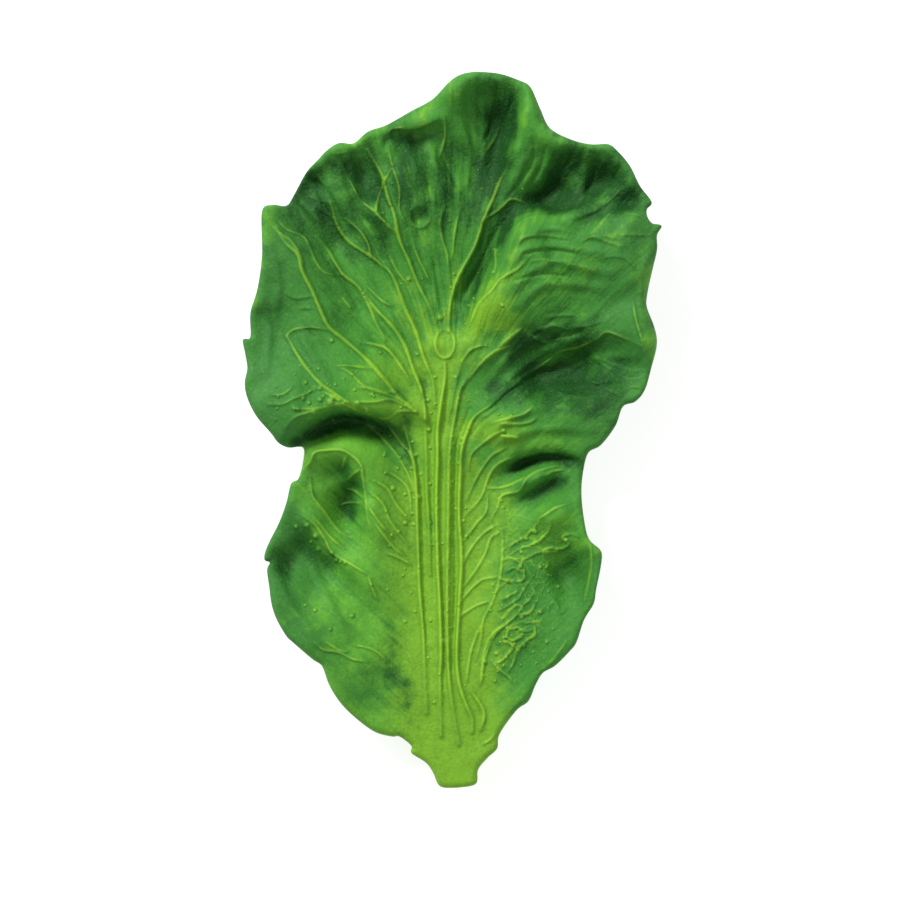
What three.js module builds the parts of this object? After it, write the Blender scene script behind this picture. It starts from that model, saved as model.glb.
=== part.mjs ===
// A kale leaf moulded in soft rubber, lying on its back: a stem and midrib, a broad blade with folded lobes
// and a ruffled margin. It is one solid piece. Millimetres, +Z up, +Y towards the leaf's tip. The origin is
// below the middle of the leaf, in the plane that the leaf lies on.
import * as THREE from 'three';

// Driving dimensions.
const BLADE_THICKNESS = 4.4;      // away from the midrib and the margin
const MARGIN_THICKNESS = 2.8;     // just inside the rounded edge
const MARGIN_WIDTH = 9;           // over which the blade thins towards its edge
const EDGE_ROUND = 1.4;           // how far in from the outline the edge is rounded
const LEAST_THICKNESS = 2.0;      // under the deepest hollows
const HOLLOW_SOFTNESS = 1.2;      // how roundly a hollow's sides run into its floor
const MIDRIB_THICKNESS = 8.0;     // from the midrib's face to the flat it rests on
const MIDRIB_REACH = 6.5;         // half the midrib's width
const MIDRIB_SINK = 1.2;          // how far the midrib's back would pass below the flat it is cut to
const STALK_RISE = 1.6;           // how much the midrib's round face stands out of the trough
const TROUGH_RISE = 6.0;          // how much higher the blade is than the midrib at TROUGH_REACH from it
const TROUGH_REACH = 38;
const TROUGH_POWER = 1.4;
const BACK_SOFTNESS = 2;          // passes of smoothing that the back has beyond the front

// Mesh fineness.
const STATIONS = 84;              // rays along each side of the leaf, from the stem to the tip
const CELLS_ACROSS = 12;          // cells on each ray, from the outline to the spine
const GRID_STEP = 1.0;            // spacing of the height grid that the folds are summed on
const GRID_HALF = [50, 82];       // half the grid's width and length
const CURVE_STEPS = 5;            // straight steps on each span of a fold's path
const SPINE_SHARE = 0.83;         // how far up the leaf the spine of the mesh runs

// The outline's two sides, from the middle of the stem's cut end to the tip.
const STEM_END = [1, -74.8];
const TIP = [5, 75];
const RIGHT_SIDE = [
  STEM_END, [5, -74], [5.5, -71], [7.5, -68.5], [9.5, -66.5], [10, -63.5], [13.5, -58.5], [16, -56.5],
  [17.5, -53], [19, -50.5], [21.5, -49], [24.5, -46], [26, -44], [27.5, -39.5], [29.5, -36], [30, -33],
  [31, -28], [31, -25], [28.5, -22.5], [27.5, -18.5], [27, -13], [27.5, -8], [28.5, -4.5], [31, -3],
  [34, 1], [35.5, 5], [38, 6], [40, 8.5], [41.5, 13.5], [42.5, 18], [42, 21.5], [40.5, 25.5], [40.5, 28],
  [41.5, 33], [42.5, 37.5], [42.5, 40.5], [43.5, 42.5], [41.5, 43], [40.5, 44.5], [40.5, 46], [41.5, 47.5],
  [39, 51], [37, 55], [34.5, 58], [32.5, 59.5], [29, 59.5], [25, 60.5], [20.5, 63], [18.5, 67],
  [16.5, 71.5], [14.5, 73], [10, 74.5], TIP,
];
const LEFT_SIDE = [
  STEM_END, [-2.5, -74.5], [-4, -71.5], [-5.5, -69.5], [-8.5, -67.5], [-8.5, -66], [-11, -64],
  [-12.5, -64], [-16, -63], [-19.5, -60.5], [-23, -57], [-25.5, -53], [-27, -49], [-29, -47.5], [-33, -44],
  [-34.5, -42.5], [-36.5, -39], [-37.5, -36], [-38, -32.5], [-38.5, -29], [-38, -27.5], [-39, -27],
  [-39, -25.5], [-38, -23], [-36, -19], [-34.5, -15], [-33.5, -11], [-32, -10], [-31, -6.5], [-31, -3.5],
  [-34, -3.5], [-36, -2.5], [-37.5, -0.5], [-40.5, 3], [-42.5, 7], [-43, 10], [-42.5, 13], [-43, 16],
  [-43.5, 19], [-42, 19.5], [-42, 24.5], [-40.5, 29.5], [-39.5, 36.5], [-39.5, 45.5], [-37.5, 47],
  [-34.5, 47], [-33, 49.5], [-30.5, 54], [-28, 56.5], [-26, 58.5], [-23.5, 60], [-20.5, 60],
  [-17.5, 62.5], [-13.5, 64], [-8.5, 67], [-4, 69.5], [-0.5, 73], [2, 74.5], TIP,
];

// The folds of the blade, each raised or sunk along a path: name, rise, how far it reaches to the left and
// to the right of its path as it is walked, and the path.
const FOLDS = [
  ['upper left hem', 6, 13, 1.3, [[-35, -1.5], [-30.5, 1.8], [-26.5, 4], [-22.5, 5], [-17.5, 4.2],
    [-9, 4]]],
  ['hollow under the hem', -6, 1.6, 3.4, [[-32, -1.5], [-26.5, 1.2], [-22, 2.2], [-17, 1.4], [-11.5, -2]]],
  ['lower left arc', 4.6, 6, 3.2,
    [[-33, -6], [-28.5, -4], [-23, -4], [-19.5, -6.5], [-18, -16], [-15, -29.5]]],
  ['left dimple', -6, 3, 4.4, [[-22.5, -9.5], [-21, -12.5], [-21.5, -16.5], [-19.5, -20.5]]],
  ['left diagonal', 3.2, 3.6, 2.2, [[-33.5, -16], [-30, -19], [-26.5, -24], [-21.5, -28], [-14.5, -36.5]]],
  ['left pocket', -4.5, 5.5, 6, [[-34.5, -21.5], [-30.5, -25], [-22.5, -31]]],
  ['lower left swell', 2.5, 9, 7, [[-34, -38.5], [-26.5, -43.5], [-12.5, -52]]],
  ['left notch', -2.5, 2, 2, [[-38.5, -26], [-35, -27.5], [-34.5, -31]]],
  ['left lobe swell', 3, 9, 9, [[-39.5, 10.5], [-35, 6], [-29.5, 5]]],
  ['left edge hollow', -3, 6, 7, [[-39.5, 27.5], [-38, 20], [-35, 14.5]]],
  ['middle left swell', 2, 8, 8, [[-37, 43], [-32, 35.5], [-22.5, 18]]],
  ['left furrow', -2.2, 5, 5, [[-29, 41.5], [-24.5, 35.5], [-16.5, 21]]],
  ['upper left rim', 2.5, 2.5, 3, [[-38, 45.5], [-34, 52], [-29.5, 57], [-22.5, 59.5], [-14, 64.5]]],
  ['upper left pocket', -5.5, 3.6, 3.6, [[-34.5, 46.5], [-31.5, 51], [-27, 55.5]]],
  ['left slant crest', 2.6, 2.4, 2.4, [[-23.5, 57], [-21, 51], [-16.5, 46], [-11.5, 40.5]]],
  ['slant pocket', -3.2, 3.2, 3.2, [[-20, 57], [-19, 52.5], [-15.5, 47]]],
  ['left slant valley', -3, 3.6, 3.6, [[-28, 47], [-25.5, 42], [-22, 37.5]]],
  ['top lip', 2.2, 2, 1.1, [[-13, 62.5], [-8, 63.6], [-1.5, 65.5]]],
  ['hollow under the lip', -2, 1.1, 3, [[-12, 61], [-7.7, 61.5], [-3, 63]]],
  ['top crest', 4.5, 3.5, 3.5, [[-1.5, 65.5], [0, 70], [4, 73.5], [10, 73.5], [15, 72.5]]],
  ['top valley', -5, 2.8, 5, [[8.5, 70], [10, 64], [9, 57], [6.5, 50]]],
  ['top right rib', 3.4, 3, 1.3, [[15.5, 71], [14.8, 66], [13, 59.5], [11.3, 54]]],
  ['top left swell', 3.2, 6, 6, [[-11, 58.5], [-8.5, 51.5], [-6.5, 40]]],
  ['crater', -2.6, 2.2, 2.2, [[-7.5, 46], [-6, 43.5]]],
  ['top dent', -2, 2.6, 2.6, [[-0.5, 61.5], [2, 56.5], [3, 52]]],
  ['top right rim', 4, 2.8, 3, [[16.5, 70], [18.5, 62.5], [22.5, 60], [30, 59.5], [35.5, 55.5], [39.5, 49]]],
  ['first right pocket', -6, 3.4, 3.4, [[16, 45.5], [20.5, 50], [24, 54]]],
  ['second right pocket', -4, 3.2, 3.2, [[27.5, 49], [31.5, 52], [34.5, 54.5]]],
  ['third right pocket', -3, 2.6, 2.6, [[35.5, 48.5], [38.5, 46.5]]],
  ['pocket wall', 3.2, 1.8, 2.4, [[22.5, 43], [26.5, 45.5], [36, 50.5]]],
  ['right lobe crest', 6.5, 2.2, 13,
    [[4, 19], [5.5, 25], [8, 31], [10.5, 37], [13.5, 42], [18.5, 44.5], [23, 44]]],
  ['valley before the lobe', -3.6, 3.6, 2.2, [[3, 24], [5.5, 30], [8, 35], [11, 41.5], [15, 46]]],
  ['right lobe back', 4.6, 1.8, 10, [[21.5, 43], [25.5, 39.5], [30.5, 42], [35.5, 44.5], [41.5, 45]]],
  ['right lobe pinch', -2.4, 2, 3, [[25.5, 42.5], [27.5, 40], [27.5, 36.5]]],
  ['right swell', 3, 9, 9, [[31, 37], [37, 34], [40.5, 29.5]]],
  ['right edge crest', 3.4, 2.6, 4, [[38, 27.5], [38, 23], [39.5, 19], [41.5, 15.5]]],
  ['hollow edge', 2.6, 4, 1.8, [[14, 10.5], [21, 15.5], [26.5, 18], [32, 20.5], [38.5, 18]]],
  ['right hollow', -9, 6.5, 7.5, [[13, 9.5], [19.5, 12.5], [25, 13.5], [32, 12.5]]],
  ['right rim swell', 4, 6, 7, [[41.5, 12.5], [39.5, 7.5], [32, 5.5]]],
  ['right fold', 4.6, 6, 6, [[5, -3], [10, 2.5], [17.5, 5.5], [25, 4], [29, -1.5]]],
  ['right crease', -5, 1.1, 2.8, [[11, -8.5], [15, -6.8], [20.5, -5.8], [26.5, -7]]],
  ['right low crest', 3, 1.8, 3, [[12.5, -12.5], [16.5, -10], [19.5, -7.5], [24, -7]]],
  ['right dimple', -3.6, 2.2, 2.6, [[13.5, -15], [18, -12.5], [22, -11], [25, -10.5]]],
  ['right ridge', 3.4, 2.2, 3.4, [[17, -19], [20.5, -17], [25.5, -14.5]]],
  ['right low hollow', -5, 5.5, 5.5, [[20, -31.5], [24.5, -30], [28.5, -28.5]]],
  ['right low rim', 4, 3, 3, [[27.5, -14.5], [29, -23], [30.5, -26], [30.5, -33], [28.5, -40]]],
  ['net field swell', 2.2, 9, 9, [[16.5, -23], [14, -35.5], [11, -48]]],
  ['lower right rim', 1.8, 4, 4, [[28, -42.5], [21, -50.5], [16.5, -56]]],
  ['lower left rim', 1.8, 4, 4, [[-38, -33], [-34, -44.5], [-25.5, -54], [-16.5, -62]]],
  ['swell of the eye', 1.1, 3.2, 3.2, [[-1.5, 16.5], [-1.5, 20]]],
  ['stalk round', STALK_RISE, 5, 5, [[1.5, -75], [0, -60], [-2, -30], [-1.5, 16]]],
];
const FOLD_END_SHARE = 0.3;       // part of a fold's length over which its ends fade
const FOLD_END_HEIGHT = 0.35;     // a fold's height at its very end, as a share of its rise

const smooth = (t) => THREE.MathUtils.smoothstep(t, 0, 1);

// The point of a path nearest to (x, y): its distance, how far along the path it lies, from 0 to 1, and on
// which side of the path (x, y) lies, from 1 on the left to -1 on the right, passing smoothly through 0
// beyond the path's ends.
function nearestOn(path, x, y) {
  let nearest = { distance: Infinity };
  let walked = 0;
  for (let i = 0; i + 1 < path.length; i += 1) {
    const [a, b] = [path[i], path[i + 1]];
    const [ux, uy] = [b.x - a.x, b.y - a.y];
    const length = Math.hypot(ux, uy);
    const t = THREE.MathUtils.clamp(((x - a.x) * ux + (y - a.y) * uy) / (length * length), 0, 1);
    const [dx, dy] = [x - a.x - t * ux, y - a.y - t * uy];
    const distance = Math.hypot(dx, dy);
    if (distance < nearest.distance) {
      const side = (ux * dy - uy * dx) / (length * Math.max(distance, 1e-6));
      nearest = { distance, side, along: walked + t * length };
    }
    walked += length;
  }
  return { ...nearest, along: nearest.along / walked };
}

// The height that one fold adds at (x, y).
function foldHeight(fold, x, y) {
  const { distance, side, along } = nearestOn(fold.path, x, y);
  const reach = 0.5 * (fold.left * (1 + side) + fold.right * (1 - side));
  if (distance > 3 * reach) return 0;
  const toEnd = Math.min(along, 1 - along) / FOLD_END_SHARE;
  const fade = THREE.MathUtils.lerp(FOLD_END_HEIGHT, 1, smooth(toEnd));
  return fold.rise * fade * Math.exp(-((distance / reach) ** 2));
}

// A grid of heights over the leaf, read between its nodes by bilinear interpolation.
class HeightGrid {
  constructor(heightAt) {
    this.columns = Math.round((2 * GRID_HALF[0]) / GRID_STEP) + 1;
    this.rows = Math.round((2 * GRID_HALF[1]) / GRID_STEP) + 1;
    this.z = Array.from({ length: this.rows }, (_, j) => Array.from({ length: this.columns }, (_, i) => (
      heightAt(i * GRID_STEP - GRID_HALF[0], j * GRID_STEP - GRID_HALF[1]))));
  }

  // One pass of a 1-2-1 average along both directions.
  smoothed() {
    const line = (values) => values.map((v, i) => (
      0.25 * (values[i - 1] ?? v) + 0.5 * v + 0.25 * (values[i + 1] ?? v)));
    const turn = (table) => table[0].map((_, i) => table.map((row) => row[i]));
    const copy = Object.create(HeightGrid.prototype);
    return Object.assign(copy, this, { z: turn(turn(this.z.map(line)).map(line)) });
  }

  at(x, y) {
    const u = (x + GRID_HALF[0]) / GRID_STEP;
    const v = (y + GRID_HALF[1]) / GRID_STEP;
    const [i, j] = [Math.floor(u), Math.floor(v)];
    const low = THREE.MathUtils.lerp(this.z[j][i], this.z[j][i + 1], u - i);
    const high = THREE.MathUtils.lerp(this.z[j + 1][i], this.z[j + 1][i + 1], u - i);
    return THREE.MathUtils.lerp(low, high, v - j);
  }
}

const toVectors = (points) => points.map(([x, y]) => new THREE.Vector2(x, y));
const folds = FOLDS.map(([, rise, left, right, points]) => {
  const path = new THREE.SplineCurve(toVectors(points)).getPoints(CURVE_STEPS * (points.length - 1));
  return { rise, left, right, path };
});

// The face is a trough that rises from the midrib, with the folds on it. The back follows it more softly.
const troughHeight = (x) => (
  MIDRIB_THICKNESS - STALK_RISE + TROUGH_RISE * (Math.abs(x) / TROUGH_REACH) ** TROUGH_POWER);
const face = new HeightGrid((x, y) => (
  troughHeight(x) + folds.reduce((sum, fold) => sum + foldHeight(fold, x, y), 0))).smoothed();
let back = face;
for (let pass = 0; pass < BACK_SOFTNESS; pass += 1) back = back.smoothed();

const sides = [LEFT_SIDE, RIGHT_SIDE].map((points) => (
  new THREE.SplineCurve(toVectors(points)).getSpacedPoints(STATIONS)));
const outline = [...sides[0], ...sides[1].slice().reverse()];

// The greater of two heights, rounded where they are alike.
const softMost = (a, b) => 0.5 * (a + b + Math.hypot(a - b, HOLLOW_SOFTNESS));

// The face's and the back's height at a point of the leaf. They meet on the outline, with a round edge
// between, and the back is cut flat where it would pass below the surface that the leaf lies on.
function heightsAt(x, y) {
  const inset = nearestOn(outline, x, y).distance;
  const blade = THREE.MathUtils.lerp(MARGIN_THICKNESS, BLADE_THICKNESS, smooth(inset / MARGIN_WIDTH));
  const midrib = Math.exp(-((x / MIDRIB_REACH) ** 2));
  const uncut = MIDRIB_THICKNESS + MIDRIB_SINK;
  const thickness = THREE.MathUtils.lerp(blade, uncut, midrib * smooth(inset / MARGIN_WIDTH));
  const top = face.at(x, y);
  const under = Math.min(back.at(x, y) - thickness, top - LEAST_THICKNESS);
  const low = Math.max(under, 0);
  const high = softMost(top, low + LEAST_THICKNESS);
  const middle = 0.5 * (high + low);
  const roundness = Math.sqrt(1 - (1 - Math.min(inset / EDGE_ROUND, 1)) ** 2);
  return [middle + roundness * (high - middle), middle - roundness * (middle - low)];
}

// Where ring j of a ray lies, as a share of the way in: two rings close to the edge, the rest even.
function ringShare(j, length) {
  const first = Math.min(EDGE_ROUND, 0.2 * length) / length;
  if (j === 0) return 0;
  if (j === 1) return 0.3 * first;
  return first + ((1 - first) * (j - 2)) / (CELLS_ACROSS - 2);
}

const spine = sides[0].map((left, k) => {
  const level = 0.5 * (left.y + sides[1][k].y) - STEM_END[1];
  const x = THREE.MathUtils.lerp(STEM_END[0], -1.2, smooth(k / (0.3 * STATIONS)));
  return new THREE.Vector2(k === 0 ? STEM_END[0] : x, STEM_END[1] + SPINE_SHARE * level);
});

// Vertices are shared: the face and the back use one vertex on the outline, and the two sides of the leaf
// use one on the spine and on the ray to the tip.
const positions = [];
const known = new Map();
function vertex(point, layer) {
  const onOutline = point.edge;
  const key = `${point.x.toFixed(4)},${point.y.toFixed(4)},${onOutline ? 'edge' : layer}`;
  if (!known.has(key)) {
    known.set(key, positions.length / 3);
    const heights = heightsAt(point.x, point.y);
    const z = onOutline ? 0.5 * (heights[0] + heights[1]) : heights[layer];
    positions.push(point.x, point.y, z);
  }
  return known.get(key);
}

function rayPoint(side, k, j) {
  const [outer, inner] = [sides[side][k], spine[k]];
  const p = outer.clone().lerp(inner, k === 0 ? j / CELLS_ACROSS : ringShare(j, outer.distanceTo(inner)));
  return { x: p.x, y: p.y, edge: j === 0 || k === 0 };
}

const triangles = [];
function addTriangle(a, b, c) {
  if (a !== b && b !== c && c !== a) triangles.push(a, b, c);
}
// A cell is split along its flatter diagonal, so that crests and valleys stay unbroken.
function addCell([a, b, c, d]) {
  const step = (p, q) => Math.abs(positions[3 * p + 2] - positions[3 * q + 2]);
  const halves = step(a, c) < step(b, d) ? [[a, b, c], [a, c, d]] : [[a, b, d], [b, c, d]];
  halves.forEach((half) => addTriangle(...half));
}
for (const side of [0, 1]) {
  for (const layer of [0, 1]) {
    for (let k = 0; k < STATIONS; k += 1) {
      for (let j = 0; j < CELLS_ACROSS; j += 1) {
        const corner = [[k, j], [k, j + 1], [k + 1, j + 1], [k + 1, j]]
          .map(([station, ring]) => vertex(rayPoint(side, station, ring), layer));
        if (side !== layer) corner.reverse();
        addCell(corner);
      }
    }
  }
}

const geometry = new THREE.BufferGeometry();
geometry.setAttribute('position', new THREE.Float32BufferAttribute(positions, 3));
geometry.setIndex(triangles);
geometry.computeVertexNormals();

const leafRubber = new THREE.MeshStandardMaterial({ color: 0x4f9a35, roughness: 0.6, metalness: 0 });
const leaf = new THREE.Mesh(geometry, leafRubber);
leaf.name = 'kale_leaf';

const kale = new THREE.Group();
kale.add(leaf);
export default kale;
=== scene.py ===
import math

import bpy
import numpy as np
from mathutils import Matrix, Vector
from mathutils.geometry import delaunay_2d_cdt
from mathutils.kdtree import KDTree


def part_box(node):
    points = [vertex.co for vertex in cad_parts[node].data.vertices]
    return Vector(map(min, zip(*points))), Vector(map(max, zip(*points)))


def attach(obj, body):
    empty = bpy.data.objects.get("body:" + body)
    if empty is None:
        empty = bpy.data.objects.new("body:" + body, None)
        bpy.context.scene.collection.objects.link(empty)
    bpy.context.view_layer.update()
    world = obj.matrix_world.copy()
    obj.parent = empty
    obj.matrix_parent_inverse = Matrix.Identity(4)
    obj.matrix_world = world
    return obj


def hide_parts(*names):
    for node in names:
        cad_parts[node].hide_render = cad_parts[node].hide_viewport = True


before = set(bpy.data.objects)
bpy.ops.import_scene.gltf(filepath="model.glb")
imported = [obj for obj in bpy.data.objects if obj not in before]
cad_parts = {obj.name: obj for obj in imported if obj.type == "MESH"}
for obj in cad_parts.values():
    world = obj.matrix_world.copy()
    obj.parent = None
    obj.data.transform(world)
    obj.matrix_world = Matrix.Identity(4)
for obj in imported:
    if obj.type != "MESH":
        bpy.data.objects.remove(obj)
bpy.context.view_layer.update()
LEAF_NODE = "kale_leaf"
leaf_low, leaf_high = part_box(LEAF_NODE)
LEAF_LENGTH = leaf_high.y - leaf_low.y
LEAF_HEIGHT = leaf_high.z - leaf_low.z
MM = 0.001

# ---- The stand that the leaf is looked at from
# A long lens hangs square above the leaf, so that the leaf is seen as flat as it lies.
# The leaf's tip points up the picture.
LEAF_SHARE_OF_VIEW = 0.7978
VIEW_WIDTH = LEAF_LENGTH / LEAF_SHARE_OF_VIEW
VIEW_MIDDLE = (-0.4 * MM, -4.0 * MM)
LENS_MM = 150
SENSOR_MM = 36
camera_data = bpy.data.cameras.new("camera")
camera_data.lens = LENS_MM
camera_data.sensor_width = SENSOR_MM
camera = bpy.data.objects.new("camera", camera_data)
camera.location = (*VIEW_MIDDLE, 0.5 * LEAF_HEIGHT + VIEW_WIDTH * LENS_MM / SENSOR_MM)
bpy.context.scene.collection.objects.link(camera)
bpy.context.scene.camera = camera
bpy.context.scene.view_settings.view_transform = "Standard"

# ---- The table and its lamps
# A white card lies under the leaf and glows as a light table does. One broad soft lamp hangs above the
# card's upper left corner and a weaker one fills from the right, in a white room.
CARD_HALF = 1.5
CARD_DROP = 0.1 * MM
CARD_GREY = (0.4, 0.4, 0.4, 1)
CARD_ROUGHNESS = 0.9
CARD_GLOW = 0.8
ROOM_LIGHT = 0.42
WHITE = (1, 1, 1, 1)
card_corners = [(x * CARD_HALF, y * CARD_HALF, 0) for x, y in ((-1, -1), (1, -1), (1, 1), (-1, 1))]
card_mesh = bpy.data.meshes.new("card")
card_mesh.from_pydata(card_corners, [], [(0, 1, 2, 3)])
card = bpy.data.objects.new("card", card_mesh)
bpy.context.scene.collection.objects.link(card)
card.location.z = -CARD_DROP
card_material = bpy.data.materials.new("white card")
card_material.use_nodes = True
card_shader = card_material.node_tree.nodes["Principled BSDF"]
card_shader.inputs["Base Color"].default_value = CARD_GREY
card_shader.inputs["Emission Color"].default_value = WHITE
card_shader.inputs["Emission Strength"].default_value = CARD_GLOW
card_shader.inputs["Roughness"].default_value = CARD_ROUGHNESS
card_mesh.materials.append(card_material)


def add_lamp(name, place, size, power):
    lamp_data = bpy.data.lights.new(name, "AREA")
    lamp_data.shape = "DISK"
    lamp_data.size = size
    lamp_data.energy = power
    lamp = bpy.data.objects.new(name, lamp_data)
    lamp.location = place
    lamp.rotation_euler = (-Vector(place)).to_track_quat("-Z", "Y").to_euler()
    bpy.context.scene.collection.objects.link(lamp)


add_lamp("key lamp", (-0.6, 0.85, 0.8), 0.4, 19)
add_lamp("fill lamp", (0.9, -0.3, 1.0), 0.9, 3)
room = bpy.data.worlds.new("white room")
room.use_nodes = True
room.node_tree.nodes["Background"].inputs["Color"].default_value = WHITE
room.node_tree.nodes["Background"].inputs["Strength"].default_value = ROOM_LIGHT
bpy.context.scene.world = room

# ---- The leaf's blank
# The leaf is cast in one pour of soft rubber: a thick midrib, a blade that rises from it on both sides like
# a shallow trough, and folds pressed into the blade. It is as thick as a finger at the midrib and thins
# towards a rounded margin.

# Sizes and places on the leaf are in millimetres until MM turns them into metres.
BLADE_THICKNESS = 4.4
MARGIN_THICKNESS = 2.8
MARGIN_WIDTH = 9.0
EDGE_ROUND = 1.4
LEAST_THICKNESS = 2.0
HOLLOW_SOFTNESS = 1.2
MIDRIB_THICKNESS = 8.0
MIDRIB_REACH = 6.5
MIDRIB_SINK = 1.2
STALK_RISE = 1.6
TROUGH_RISE = 6.0
TROUGH_REACH = 38.0
TROUGH_POWER = 1.4
FACE_SOFTENING = 4
BACK_SOFTENING = 8
RELIEF_START = 0.3
RELIEF_RAMP = 1.2
OUTLINE_STEPS = 8
TINY = 1e-6

STEM_END = (1, -74.8)
TIP = (5, 75)
RIGHT_SIDE = [
    STEM_END, (5, -74), (5.5, -71), (7.5, -68.5), (9.5, -66.5), (10, -63.5), (13.5, -58.5), (16, -56.5),
    (17.5, -53), (19, -50.5), (21.5, -49), (24.5, -46), (26, -44), (27.5, -39.5), (29.5, -36), (30, -33),
    (31, -28), (31, -25), (28.5, -22.5), (27.5, -18.5), (27, -13), (27.5, -8), (28.5, -4.5), (31, -3),
    (34, 1), (35.5, 5), (38, 6), (40, 8.5), (41.5, 13.5), (42.5, 18), (42, 21.5), (40.5, 25.5), (40.5, 28),
    (41.5, 33), (42.5, 37.5), (42.5, 40.5), (43.5, 42.5), (41.5, 43), (40.5, 44.5), (40.5, 46), (41.5, 47.5),
    (39, 51), (37, 55), (34.5, 58), (32.5, 59.5), (29, 59.5), (25, 60.5), (20.5, 63), (18.5, 67),
    (16.5, 71.5), (14.5, 73), (10, 74.5), TIP,
]
LEFT_SIDE = [
    STEM_END, (-2.5, -74.5), (-4, -71.5), (-5.5, -69.5), (-8.5, -67.5), (-8.5, -66), (-11, -64),
    (-12.5, -64), (-16, -63), (-19.5, -60.5), (-23, -57), (-25.5, -53), (-27, -49), (-29, -47.5), (-33, -44),
    (-34.5, -42.5), (-36.5, -39), (-37.5, -36), (-38, -32.5), (-38.5, -29), (-38, -27.5), (-39, -27),
    (-39, -25.5), (-38, -23), (-36, -19), (-34.5, -15), (-33.5, -11), (-32, -10), (-31, -6.5), (-31, -3.5),
    (-34, -3.5), (-36, -2.5), (-37.5, -0.5), (-40.5, 3), (-42.5, 7), (-43, 10), (-42.5, 13), (-43, 16),
    (-43.5, 19), (-42, 19.5), (-42, 24.5), (-40.5, 29.5), (-39.5, 36.5), (-39.5, 45.5), (-37.5, 47),
    (-34.5, 47), (-33, 49.5), (-30.5, 54), (-28, 56.5), (-26, 58.5), (-23.5, 60), (-20.5, 60),
    (-17.5, 62.5), (-13.5, 64), (-8.5, 67), (-4, 69.5), (-0.5, 73), (2, 74.5), TIP,
]

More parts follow.
